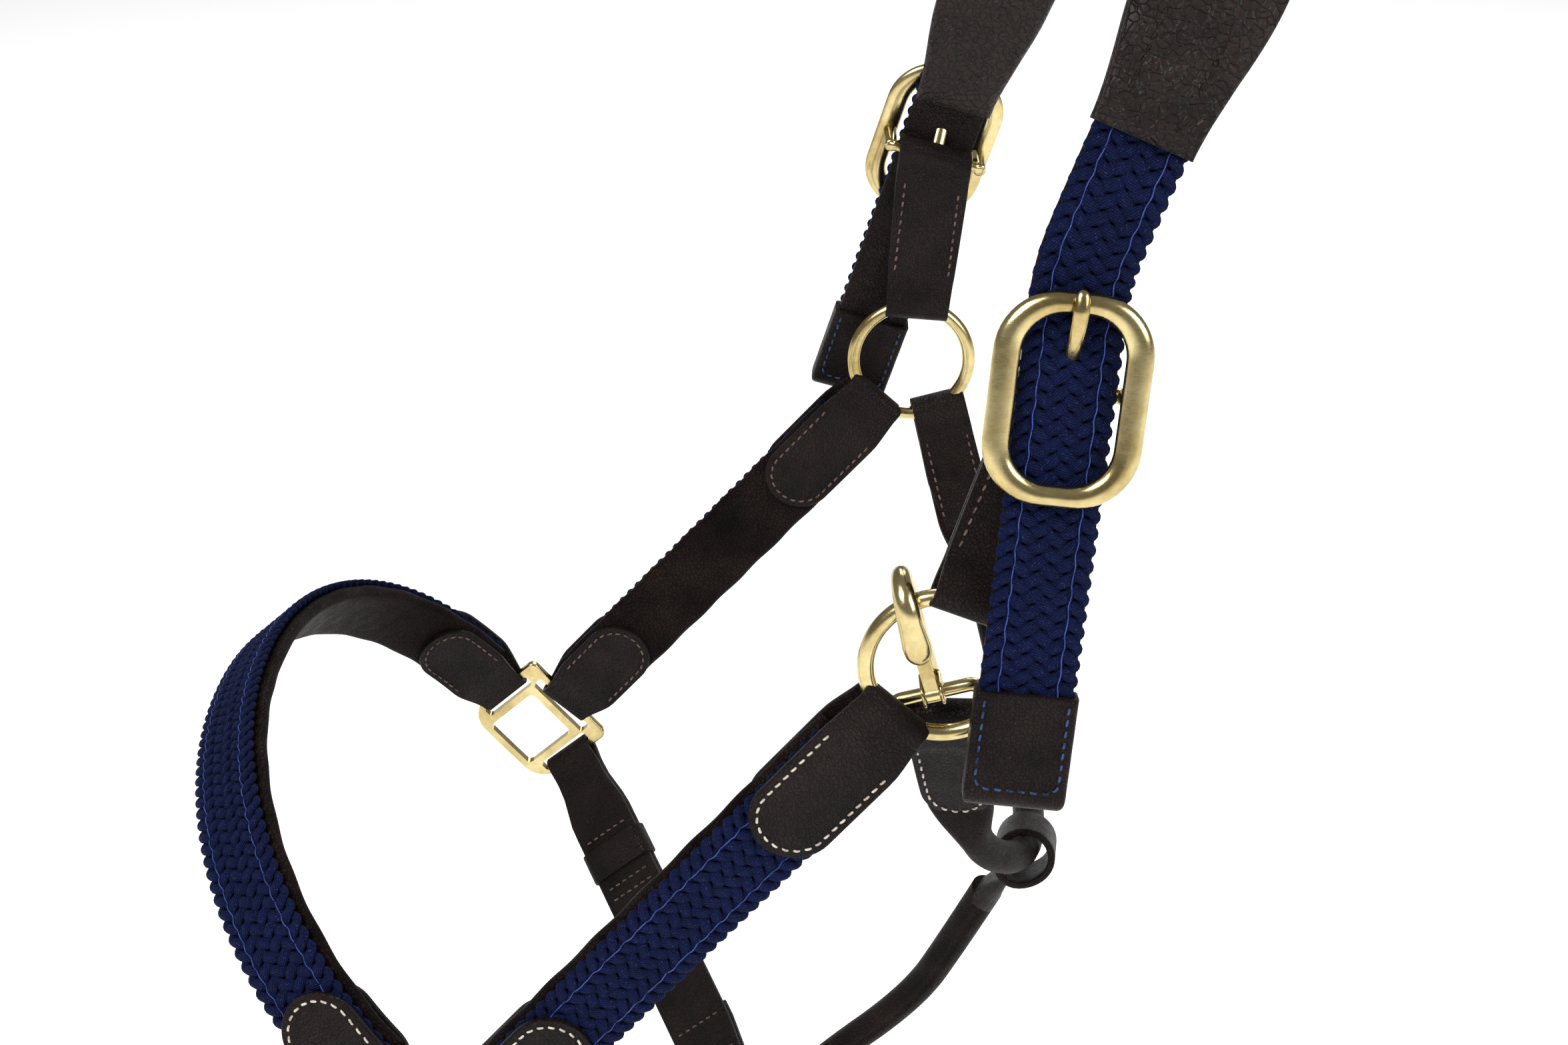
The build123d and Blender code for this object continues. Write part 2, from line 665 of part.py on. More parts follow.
def snap_body():
    """Hook, shank and strap eye in one casting; X is outwards and Y up in the snap's own plane."""
    shank_line = Line((-snap_bow, -snap_shank), (-snap_bow, 0))
    bow = ThreePointArc((-snap_bow, 0), (0, snap_bow), (snap_bow, 0))
    beak = Line((snap_bow, 0), (snap_bow, -snap_beak))
    path = Wire([shank_line, bow, beak])
    start = Plane(origin=(-snap_bow, -snap_shank, 0), z_dir=(0, 1, 0))
    body = sweep(start * Circle(snap_wire / 2), path)
    knuckle_at = gate_pin_up - snap_shank
    knuckle = Pos((3.0 - snap_bow) / 2, knuckle_at) * Box(snap_bow + 3.0, 7.0, snap_wire)
    body += knuckle
    slot = gate_width - 2 * gate_side_wall
    body -= Pos(1.0, knuckle_at) * Box(8.0, 8.0, slot + 2 * loose_gap)
    body -= Pos(0, knuckle_at) * Cylinder(gate_pin / 2 + gate_pin_fit, 4 * snap_wire)
    eye = Rectangle(throat_width + 2 + 2 * snap_eye_wire, snap_eye_height)
    eye = fillet(eye.vertices(), snap_eye_wire)
    eye -= RectangleRounded(throat_width + 2, snap_eye_height - 2 * snap_eye_wire + 1.0, 2.0)
    eye = extrude(eye, snap_eye_wire / 2, both=True)
    eye = fillet(eye.edges().filter_by(Plane.XY), snap_eye_wire * 0.3)
    eye_middle = -snap_shank - snap_eye_height / 2 + 1.0
    turned = Plane(origin=(-snap_bow, eye_middle, 0), x_dir=(0, 0, 1), z_dir=(1, 0, 0))
    return snap_plane() * (body + turned * eye)


def gate_pivot():
    return snap_plane().from_local_coords(Vector(0, gate_pin_up - snap_shank, 0))


def snap_gate():
    """Spring gate: a thin leaf from its pin up to the inside of the hook's beak."""
    width = gate_width - 2 * gate_side_wall
    foot = Vector(0, gate_pin_up - snap_shank)
    reach = Vector(snap_bow - snap_wire / 2 - loose_gap - gate_thickness / 2, -snap_beak + 2.5)
    run = (reach - foot).normalized()
    side_step = Vector(-run.Y, run.X) * (gate_thickness / 2)
    corners = [foot - side_step, reach - side_step, reach + side_step, foot + side_step]
    leaf = extrude(make_face(Polyline(*[(p.X, p.Y) for p in corners], close=True)), width / 2, both=True)
    leaf += Pos(0, gate_pin_up - snap_shank) * Cylinder(gate_pin / 2 + gate_eye_wall, width)
    leaf -= Pos(0, gate_pin_up - snap_shank) * Cylinder(gate_pin / 2 + gate_pin_fit, 4 * width)
    return snap_plane() * leaf


def snap_pin():
    return snap_plane() * (Pos(0, gate_pin_up - snap_shank) * Cylinder(gate_pin / 2, snap_wire - 0.4))


# ---- Throat strap and jaw strap ------------------------------------------------------------------
def snap_eye_bar():
    low = -snap_shank - snap_eye_height + 1.0 + snap_eye_wire / 2
    return snap_plane().from_local_coords(Vector(-snap_bow, low, 0))


def throat_points():
    """The throat strap's middle line from the snap, under the jaw, to the far cheek ring."""
    return [
        snap_eye_bar(),
        RING_AXIS + Vector(9.0, -86.0, -72.0),
        RING_AXIS + Vector(30.0, -58.0, -98.0),
        RING_AXIS + Vector(38.0, 0.0, -112.0),
        RING_AXIS + Vector(32.0, 62.0, -95.0),
        RING_AXIS + Vector(20.0, 103.0, -56.0),
        ring_point(FAR, -60.0),
    ]


def flat_end(start, toward, hint, wrap, width, length):
    """A flat strap end folded round a fitting and sewn to itself, tapering towards the rolled part."""
    along = (toward - start).normalized()
    across = square_to(hint, along)
    normal = across.cross(along)
    double = flat_leather + sewn_gap / 2
    half = width / 2
    rows = [
        (-wrap, half, -wrap, wrap),
        (wrap, half, -wrap, wrap),
        (wrap + 7.0, half, -double, double),
        (length - 8.0, half, -double, double),
        (length, rolled_diameter / 2, -rolled_diameter / 2 * 0.8, rolled_diameter / 2 * 0.8),
    ]
    return straight_band(start, along, across, normal, rows)


def rolled(points, diameter):
    """Round rolled leather along straight runs joined by tangent arcs."""
    radii = []
    for before, here, after in zip(points, points[1:], points[2:]):
        first = here - before
        second = after - here
        turn = radians(first.get_angle(second))
        radii.append(0.45 * min(first.length, second.length) / tan(turn / 2))
    path = FilletPolyline(*points, radius=radii)
    start = Plane(origin=points[0], z_dir=points[1] - points[0])
    return sweep(start * Circle(diameter / 2), path)


def throat_strap():
    points = throat_points()
    eye_wrap = snap_eye_wire / 2 + loose_gap + flat_leather
    ring_wrap = ring_wire / 2 + loose_gap + flat_leather
    near_length = (points[1] - points[0]).length
    near_end = flat_end(points[0], points[1], BACKWARD, eye_wrap, throat_width, near_length)
    far_length = (points[5] - points[6]).length
    far_end = flat_end(points[6], points[5], Vector(0.87, 0, 0.5), ring_wrap, throat_width, far_length)
    middle = rolled(points[1:6], rolled_diameter)
    hook, upward, outward = snap_frame()
    eye_wire = snap_eye_wire + 2 * loose_gap
    eye_room = block(points[0], upward.cross(outward), upward, 2 * throat_width, eye_wire, eye_wire)
    ring_room = torus(ring_centre(FAR), ACROSS_HEAD, CHEEK_RING_RADIUS, ring_wire + 2 * loose_gap)
    return (near_end - eye_room) + middle + (far_end - ring_room)


def jaw_points():
    """The rolled jaw strap from its loop round the throat strap to the back of the chin ring."""
    ring_back = chin_ring_centre() - MUZZLEWARD * CHIN_RING_RADIUS
    throat = throat_points()
    loop = throat[2] * 0.75 + throat[3] * 0.25
    straight = ring_back - loop
    sag = Vector(jaw_sag, 0, -jaw_sag)
    return [loop, loop + straight * 0.14, loop + straight * 0.5 + sag, loop + straight * 0.85, ring_back]


def jaw_strap():
    loop, neck, middle, low, ring_back = jaw_points()
    throat = throat_points()
    throat_run = (throat[3] - throat[2]).normalized()
    wrap = rolled_diameter / 2 + loop_slack + flat_leather
    down = square_to(neck - loop, throat_run)
    normal = throat_run.cross(down)
    half = jaw_loop_width / 2
    root = rolled_diameter * ROOT_SHARE
    upper = band([
        section(loop - down * wrap, throat_run, normal, half, -wrap, wrap),
        section(loop + down * wrap, throat_run, normal, half, -wrap, wrap),
        section(neck, throat_run, normal, root, -root, root),
    ])
    upper -= rod(loop, throat_run, rolled_diameter + 2 * loop_slack, 3 * jaw_loop_width)
    ring_wrap = ring_wire / 2 + loose_gap + flat_leather
    along = (ring_back - low).normalized()
    across = square_to(ACROSS_HEAD, along)
    face = across.cross(along)
    lower = band([
        section(low, across, face, root, -root, root),
        section(ring_back - along * ring_wrap, across, face, half * 0.9, -ring_wrap, ring_wrap),
        section(ring_back + along * ring_wrap, across, face, half * 0.9, -ring_wrap, ring_wrap),
    ])
    lower -= chin_ring_torus(ring_wire + 2 * loose_gap)
    return upper + rolled([neck, middle, low], rolled_diameter) + lower


# ---- Write every piece ---------------------------------------------------------------------------
def all_pieces():
    inner, lining, braid, outer = layer_levels()
    half = strap_width / 2
    pieces = {
        "crown_braid": crown_braid(),
        "crown_backing": crown_backing(),
        "headpiece_cover": headpiece_cover(),
        "headpiece_foam": headpiece_foam(),
        "headpiece_lining": headpiece_lining(),
        "noseband_braid": nose_layer(half, braid),
        "noseband_lining": nose_layer(half + lining_margin, lining),
        "chin_ring": chin_ring_torus(ring_wire),
        "throat_strap": throat_strap(),
        "jaw_strap": jaw_strap(),
        "snap_body": snap_body(),
        "snap_gate": snap_gate(),
        "snap_pin": snap_pin(),
    }
    for name, side in (("near", NEAR), ("far", FAR)):
        pieces[name + "_billet_tip"] = billet_tip(side)
        pieces[name + "_buckle_frame"] = buckle_frame(side)
        pieces[name + "_buckle_tongue"] = buckle_tongue(side)
        pieces[name + "_buckle_chape"] = chape(side)
        pieces[name + "_cheek_ring"] = torus(ring_centre(side), ACROSS_HEAD, CHEEK_RING_RADIUS, ring_wire)
        pieces[name + "_cheek_braid"] = cheek_layer(side, half, braid)
        pieces[name + "_cheek_lining"] = cheek_layer(side, half + lining_margin, lining)
        pieces[name + "_cheek_upper_tab"] = cheek_upper_tab(side)
        pieces[name + "_cheek_lower_tab"] = cheek_lower_tab(side)
        pieces[name + "_halter_square"] = halter_square(side)
        pieces[name + "_nose_tab"] = nose_tab(side)
        pieces[name + "_chin_strap"] = chin_strap(side)
        pieces[name + "_chin_keeper"] = chin_keeper(side)
    return pieces


os.makedirs("parts", exist_ok=True)
for piece_name, piece in all_pieces().items():
    export_step(piece, "parts/" + piece_name + ".step")
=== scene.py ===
"""Leather headcollar with braided straps: the visible pieces, materials, light and camera.

Laid out as an add-on and run as a script. Lengths in the shape functions are millimetres; meshes are metres.
"""
import json
from math import cos, pi, radians, sin, tan

import bpy
import numpy as np
from bpy.props import FloatProperty, FloatVectorProperty, IntProperty, PointerProperty
from mathutils import Matrix, Vector


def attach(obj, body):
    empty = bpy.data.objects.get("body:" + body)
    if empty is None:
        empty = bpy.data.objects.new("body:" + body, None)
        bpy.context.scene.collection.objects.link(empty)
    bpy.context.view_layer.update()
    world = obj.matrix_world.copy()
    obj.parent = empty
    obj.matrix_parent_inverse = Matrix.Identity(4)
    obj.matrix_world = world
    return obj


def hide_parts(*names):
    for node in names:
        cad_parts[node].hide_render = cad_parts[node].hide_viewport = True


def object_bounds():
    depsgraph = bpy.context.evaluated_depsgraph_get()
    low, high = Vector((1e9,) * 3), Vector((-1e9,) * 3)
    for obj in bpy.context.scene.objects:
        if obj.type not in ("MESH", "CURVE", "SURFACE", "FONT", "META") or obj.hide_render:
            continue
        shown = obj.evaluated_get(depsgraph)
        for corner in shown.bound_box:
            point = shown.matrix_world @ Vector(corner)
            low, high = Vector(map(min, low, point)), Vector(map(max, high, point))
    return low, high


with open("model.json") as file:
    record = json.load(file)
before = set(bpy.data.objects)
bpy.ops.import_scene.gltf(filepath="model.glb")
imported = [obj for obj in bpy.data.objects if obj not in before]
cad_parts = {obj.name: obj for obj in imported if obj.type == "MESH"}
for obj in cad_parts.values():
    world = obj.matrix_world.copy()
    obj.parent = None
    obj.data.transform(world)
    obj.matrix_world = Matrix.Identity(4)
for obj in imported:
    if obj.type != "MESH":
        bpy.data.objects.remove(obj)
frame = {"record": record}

bl_info = {
    "name": "Leather Headcollar",
    "version": (1, 0, 0),
    "blender": (4, 5, 0),
    "location": "3D View > Sidebar > Headcollar",
    "description": "Braided and leather straps, padding, stitching and brass of a horse's headcollar",
    "category": "Object",
}

CAD_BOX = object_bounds()
JOINTS = {joint["name"]: joint for joint in frame["record"]["behaviour"]["joints"]}
MM = 0.001
NEAR, FAR = -1, 1
SIDES = (("near", NEAR), ("far", FAR))

# ---- Sizes shared with the solid model, in millimetres -------------------------------------------
STRAP_HALF = 12.5
BRAID_THICK = 3.0
BACKING_THICK = 1.6
BILLET_THICK = BRAID_THICK + BACKING_THICK + 0.05
LINING_THICK = 5.0
TAB_THICK = 2.0
STACK = (BRAID_THICK + LINING_THICK + 2 * TAB_THICK + 0.15) / 2
LOOSE = 0.3
WIRE = 4.6
RING_RADIUS = 20.2
CHIN_RING_RADIUS = 22.7
BAR = 4.0
CHAPE_THICK = 2.2
FLAT_THICK = 2.4
BAR_WRAP = BAR / 2 + LOOSE + CHAPE_THICK
BILLET_OUT = BAR_WRAP + LOOSE + BILLET_THICK / 2
BUCKLE_THICK = 4.6
FRAME_OUT = BILLET_OUT + BILLET_THICK / 2 + LOOSE + BUCKLE_THICK / 2
BUCKLE_HALF = (20.0, 27.25)
BUCKLE_SIDE, BUCKLE_END, BUCKLE_CORNER = 7.0, 5.6, 16.0
SQUARE_BAR_AT = 19.4
SQUARE_SHIFT = 3.2
SQUARE_RISE = radians(49.2)
ROLLED = 10.0
SNAP_BOW, SNAP_SHANK, SNAP_BEAK, SNAP_EYE = 7.5, 34.0, 15.0, 12.0

ACROSS_HEAD = np.array([0.0, 1.0, 0.0])
BACKWARD = np.array([1.0, 0.0, 0.0])
MUZZLEWARD = np.array([-sin(SQUARE_RISE), 0.0, -cos(SQUARE_RISE)])
NOSEWARD = np.array([-cos(SQUARE_RISE), 0.0, sin(SQUARE_RISE)])


def joint_point(name):
    """A joint's point in millimetres."""
    return np.array(JOINTS[name]["pos_m"]) / MM


RINGS = {side: joint_point(name + "_ring_turn") for name, side in SIDES}
BARS = {side: joint_point(name + "_tongue_lift") for name, side in SIDES}
CHIN_RING = joint_point("chin_ring_turn")
RING_LINE = (RINGS[NEAR] + RINGS[FAR]) / 2
SQUARE_FORWARD, SQUARE_HALF_SPACING, SQUARE_DROP = 142.0, 119.2, 154.4
SQUARES = {side: RING_LINE + np.array([-SQUARE_FORWARD, side * SQUARE_HALF_SPACING, -SQUARE_DROP])
           for name, side in SIDES}
LEAN_BACK = {NEAR: 5.5, FAR: 17.0}
LEAN_IN = 10.0
BELOW = {NEAR: 108.0, FAR: 98.0}
CROWN_LEAN_BACK = {NEAR: 21.0, FAR: 17.0}
STRAIGHT_ABOVE = {NEAR: 31.0, FAR: 42.0}
COVER_FROM = {NEAR: 66.0, FAR: 42.0}
PAD_FROM = {NEAR: 66.0, FAR: 18.0}
NOSE_HEIGHT = 95.0
NOSE_FULL = 0.95
SQUARE_FOLD = 2.9
BRAID_LEVEL = 2.525
POLL_SEAM = 8.2
FOLD_HALF_THICK = 1.15
SEWN_FOLD = LOOSE + 1.2
CROWN_START_PULL, CROWN_TOP_PULL = 0.42, 0.5
CROWN_TOP = 6.0 + 1.6 + BILLET_THICK / 2 + 0.1
CORD_HALF_WIDE, CORD_HALF_THICK, CORD_WAVE = 1.66, 0.88, 0.74
CAMERA_AT, CAMERA_TURN, CAMERA_TILT, CAMERA_LENS = (-0.1223, -0.6353, 0.0711), 0.80, 25.08, 52.04
WORLD_STRENGTH = 0.22


def unit(v):
    return v / np.linalg.norm(v, axis=-1, keepdims=True)


def square_to(v, along):
    """The part of v square to along, as a unit vector."""
    return unit(v - along * np.sum(v * along, axis=-1, keepdims=True))


# ---- Straps: a middle line with directions across and outwards -----------------------------------
def distances(points):
    """How far along a line of points each of them is."""
    return np.concatenate([[0.0], np.cumsum(np.linalg.norm(np.diff(points, axis=0), axis=1))])


class Strap:
    """A line through space with a direction across the strap and one out of its face at every distance s."""

    def __init__(self, points, across, outward):
        self.points = np.asarray(points, float)
        self.s = distances(self.points)
        self.across = np.broadcast_to(across, self.points.shape)
        self.outward = np.broadcast_to(outward, self.points.shape)
        self.length = self.s[-1]

    def mix(self, table, s):
        s = np.asarray(s, float)
        return np.stack([np.interp(s, self.s, table[:, i]) for i in range(3)], axis=-1)

    def lay(self, s, x, n):
        """Points at distance s along, x across and n outwards; past the ends the line runs on straight."""
        s = np.asarray(s, float)
        place = self.mix(self.points, s)
        first = unit(self.points[1] - self.points[0])
        last = unit(self.points[-1] - self.points[-2])
        place = place + first * np.minimum(s, 0)[..., None]
        place = place + last * np.maximum(s - self.length, 0)[..., None]
        return place + self.mix(self.across, s) * np.asarray(x)[..., None] + self.mix(
            self.outward, s) * np.asarray(n)[..., None]


def leaning(side, lean_back):
    """Upwards at one side of the head, from how far a strap leans back and in."""
    return unit(np.array([tan(radians(lean_back)), -side * tan(radians(LEAN_IN)), 1.0]))


def billet_frame(side):
    """Directions of a billet: across it, up it and outwards."""
    up = leaning(side, LEAN_BACK[side])
    across = square_to(BACKWARD, up)
    return across, up, np.cross(across, up) * -side


def billet_point(side, above):
    _, up, outward = billet_frame(side)
    return BARS[side] + outward * BILLET_OUT + up * above


def crown_half(side, count=60):
    """Half of the line over the poll: a Bezier curve from the end of a billet up to the level top."""
    start = billet_point(side, STRAIGHT_ABOVE[side])
    top = np.array([0.0, 0.0, CROWN_TOP])
    rise = np.linalg.norm(top - start)
    first = start + leaning(side, CROWN_LEAN_BACK[side]) * (CROWN_START_PULL * rise)
    second = top + ACROSS_HEAD * (side * CROWN_TOP_PULL * rise)
    k = np.linspace(0, 1, count)[:, None]
    return start * (1 - k) ** 3 + first * (3 * k * (1 - k) ** 2) + second * (3 * k * k * (1 - k)) + top * k**3


def smoothed(points, window=15):
    """The line through points at even millimetre steps, each averaged with its neighbours, ends kept."""
    s = distances(points)
    even = np.linspace(0, s[-1], int(s[-1]) + 1)
    line = np.stack([np.interp(even, s, points[:, i]) for i in range(3)], axis=1)
    before = line[0] + (line[0] - line[1]) * np.arange(window, 0, -1)[:, None]
    after = line[-1] + (line[-1] - line[-2]) * np.arange(1, window + 1)[:, None]
    padded = np.vstack([before, line, after])
    kernel = np.hanning(2 * window + 1)
    kernel /= kernel.sum()
    return np.stack([np.convolve(padded[:, i], kernel, "valid") for i in range(3)], axis=1)


def crown_strap():
    """The whole crown from the near billet's end over the poll to the far billet's end."""
    points = smoothed(np.vstack([[billet_point(NEAR, -BELOW[NEAR])], crown_half(NEAR),
                                 crown_half(FAR)[-2::-1], [billet_point(FAR, -BELOW[FAR])]]))
    along = unit(np.gradient(points, axis=0))
    across = square_to(BACKWARD, along)
    return Strap(points, across, np.cross(across, along))


def cheek_strap(side):
    """From the ring's wire straight down to the halter square's bar."""
    down = SQUARES[side] - RINGS[side]
    turn = unit(down * np.array([1, 0, 1]))
    start = RINGS[side] + turn * RING_RADIUS
    end = SQUARES[side] - MUZZLEWARD * SQUARE_BAR_AT
    along = unit(end - start)
    outward = square_to(ACROSS_HEAD * side, along)
    return Strap([start, end], np.cross(along, outward), outward)


def nose_strap(count=161):
    """Half a flattened ellipse over the nose, from the far square's front bar to the near one's."""
    turn = np.linspace(0, pi, count)
    spread = np.sign(np.cos(turn)) * SQUARES[FAR][1] * np.abs(np.cos(turn)) ** NOSE_FULL
    reach = SQUARE_BAR_AT + NOSE_HEIGHT * np.abs(np.sin(turn)) ** NOSE_FULL
    base = (SQUARES[FAR] + SQUARES[NEAR]) / 2 - MUZZLEWARD * SQUARE_SHIFT
    points = base + ACROSS_HEAD * spread[:, None] + NOSEWARD * reach[:, None]
    along = unit(np.gradient(points, axis=0))
    outward = unit(np.cross(MUZZLEWARD, along))
    return Strap(points, MUZZLEWARD, outward)


def chin_strap_line(side):
    start = SQUARES[side] - NOSEWARD * SQUARE_BAR_AT - MUZZLEWARD * SQUARE_SHIFT
    end = CHIN_RING + ACROSS_HEAD * (side * CHIN_RING_RADIUS)
    along = unit(end - start)
    across = square_to(MUZZLEWARD, along)
    outward = np.cross(along, across)
    return Strap([start, end], across, outward * np.sign(outward[1] * side))


def chape_strap(side):
    """From the ring's wire up to the buckle's bar; the direction across turns evenly between them."""
    across_bar = billet_frame(side)[0]
    rise = BARS[side] - RINGS[side]
    turn = unit(rise * np.array([1, 0, 1]))
    start = RINGS[side] + turn * RING_RADIUS
    along = unit(BARS[side] - start)
    across_ring = square_to(np.array([turn[2], 0, -turn[0]]), along)
    share = np.linspace(0, 1, 12)[:, None]
    across = unit(across_ring * (1 - share) + across_bar * share)
    points = start + (BARS[side] - start) * share
    return Strap(points, across, np.cross(across, along) * -side)


def soft_line(points, count=40):
    """A smooth line near the given points: a quadratic B-spline with its ends on the first and last."""
    points = np.asarray(points, float)
    middles = (points[1:] + points[:-1]) / 2
    knots = np.vstack([points[:1], middles[1:-1], points[-1:]])
    t = np.linspace(0, 1, count)[:, None]
    runs = []
    for before, corner, after in zip(knots[:-1], points[1:-1], knots[1:]):
        runs.append(before * (1 - t) ** 2 + corner * 2 * t * (1 - t) + after * t * t)
    return np.vstack([runs[0]] + [run[1:] for run in runs[1:]])


# ---- Surfaces ------------------------------------------------------------------------------------
def new_piece(name, points, faces, material, body, slot=None, stands_for=(), uv=None):
    """A mesh object from points in millimetres, facing outwards, that rides on a body."""
    points = np.asarray(points, float).reshape(-1, 3) * MM
    faces = np.asarray(faces)
    corners = points[faces]
    volume = np.sum(corners[:, 0] * np.cross(corners[:, 1], corners[:, 2]))
    if faces.shape[1] == 4:
        volume += np.sum(corners[:, 0] * np.cross(corners[:, 2], corners[:, 3]))
    if volume < 0:
        faces = faces[:, ::-1]
    mesh = bpy.data.meshes.new(name)
    mesh.vertices.add(len(points))
    mesh.vertices.foreach_set("co", points.ravel())
    sides = faces.shape[1]
    mesh.loops.add(faces.size)
    mesh.loops.foreach_set("vertex_index", faces.ravel())
    mesh.polygons.add(len(faces))
    mesh.polygons.foreach_set("loop_start", np.arange(0, faces.size, sides))
    mesh.polygons.foreach_set("loop_total", np.full(len(faces), sides))
    mesh.update(calc_edges=True)
    if uv is not None:
        layer = mesh.uv_layers.new(name="along")
        layer.data.foreach_set("uv", np.asarray(uv)[faces.ravel()].ravel())
    mesh.validate(verbose=False)
    mesh.polygons.foreach_set("use_smooth", np.ones(len(mesh.polygons), bool))
    mesh.materials.append(material)
    piece = bpy.data.objects.new(name, mesh)
    bpy.context.scene.collection.objects.link(piece)
    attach(piece, body)
    if stands_for:
        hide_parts(*stands_for)
    return piece


def full_turn(count):
    """Even angles once round, the first not repeated."""
    return np.linspace(0, 2 * pi, count, endpoint=False)


def round_off(t, least):
    """A quarter circle's height at t from 0 to 1, and never under a least value, to round off an end."""
    return np.sqrt(np.clip(1 - (1 - np.clip(t, 0, 1)) ** 2, least, 1))


def without_repeats(outline):
    """A closed outline without the points that lie on the one before."""
    return outline[np.linalg.norm(outline - np.roll(outline, 1, axis=0), axis=1) > 1e-5]


def grid_faces(rows, columns, closed_rows=False):
    """Quads of a grid whose columns close on themselves, and whose rows may too."""
    r = np.arange(rows if closed_rows else rows - 1)[:, None]
    c = np.arange(columns)[None, :]
    here = r * columns + c
    right = r * columns + (c + 1) % columns
    up = ((r + 1) % rows) * columns + c
    up_right = ((r + 1) % rows) * columns + (c + 1) % columns
    return np.stack([here, right, up_right, up], axis=-1).reshape(-1, 4)


def capped(points):
    """A grid of rings (rows, columns, 3) with both ends closed by rings drawn in to a point."""
    first = points[0].mean(axis=0)
    last = points[-1].mean(axis=0)
    ends = (0.6, 0.15, 0.02)
    head = [first + (points[0] - first) * k for k in ends[::-1]]
    tail = [last + (points[-1] - last) * k for k in ends]
    return np.concatenate([head, points, tail])


def surface(points, closed=False):
    """Points and faces of a grid of rings: its rows close on themselves, or its ends are capped."""
    if not closed:
        points = capped(points)
    return points.reshape(-1, 3), grid_faces(*points.shape[:2], closed)


def rounded_section(half_width, half_thick, corner, flats=8, arcs=4):
    """Offsets round a rounded rectangle: its sides move with the half sizes and its corners are arcs.

    Returns arrays (rows, columns) of offsets across and outwards.
    """
    hw = np.asarray(half_width, float)[:, None]
    ht = np.asarray(half_thick, float)[:, None]
    r = np.minimum(np.minimum(np.asarray(corner, float).reshape(-1, 1), hw * 0.98), ht * 0.98)
    slide, lift, angle = [], [], []
    for quarter, (sx, sn) in enumerate(((1, 1), (-1, 1), (-1, -1), (1, -1))):
        turn = np.linspace(quarter * pi / 2, (quarter + 1) * pi / 2, arcs + 1)
        slide += [sx] * len(turn)
        lift += [sn] * len(turn)
        angle += list(turn)
        if quarter in (0, 2):
            run = np.linspace(sx, -sx, flats + 2)[1:-1]
            slide += list(run)
            lift += [sn] * flats
            angle += [(quarter + 1) * pi / 2] * flats
    slide, lift, angle = (np.array(a)[None, :] for a in (slide, lift, angle))
    x = slide * (hw - r) + np.cos(angle) * r
    n = lift * (ht - r) + np.sin(angle) * r
    return x, n


def strip_mesh(strap, s, n, half_width, half_thick, corner=0.8, closed=False, bend=None, swell=None):
    """A strip of leather: a rounded section carried along its middle line (s, n) in a strap's plane.

    bend(s, x, n) may move points before they are laid on the strap; swell(s, x, n, outer) adds thickness.
    """
    s = np.asarray(s, float)
    n = np.broadcast_to(np.asarray(n, float), s.shape)
    ones = np.ones_like(s)
    x_off, n_off = rounded_section(half_width * ones, half_thick * ones, corner * ones)
    if closed:
        ds = np.roll(s, -1) - np.roll(s, 1)
        dn = np.roll(n, -1) - np.roll(n, 1)
    else:
        ds, dn = np.gradient(s), np.gradient(n)
    size = np.hypot(ds, dn)
    ds, dn = ds / size, dn / size
    if swell is not None:
        n_off = n_off + swell(s[:, None] + 0 * x_off, x_off, n_off)
    big_s = s[:, None] - dn[:, None] * n_off
    big_n = n[:, None] + ds[:, None] * n_off
    big_x = x_off
    if bend is not None:
        big_s, big_x, big_n = bend(big_s, big_x, big_n)
    return surface(strap.lay(big_s, big_x, big_n), closed)


def join_meshes(parts):
    """Several (points, faces) pairs as one."""
    points, faces, base = [], [], 0
    for p, f in parts:
        points.append(p)
        faces.append(f + base)
        base += len(p)
    return np.vstack(points), np.vstack(faces)


def tube_mesh(line, radius, sides=20, shape=None, closed=False):
    """A tube round a line; shape(turn) gives a factor on its radius round the section."""
    line = np.asarray(line, float)
    along = unit(np.gradient(line, axis=0))
    if closed:
        along = unit(np.roll(line, -1, axis=0) - np.roll(line, 1, axis=0))
    hint = np.array([0.0, 1.0, 0.0]) if abs(along[:, 1]).max() < 0.98 else np.array([1.0, 0.0, 0.0])
    first = square_to(hint, along)
    second = np.cross(along, first)
    turn = full_turn(sides)
    factor = np.ones_like(turn) if shape is None else shape(turn)
    reach = (np.asarray(radius, float) * np.ones(len(line)))[:, None] * factor[None, :]
    points = line[:, None] + first[:, None] * (np.cos(turn) * reach)[..., None]
    return surface(points + second[:, None] * (np.sin(turn) * reach)[..., None], closed)


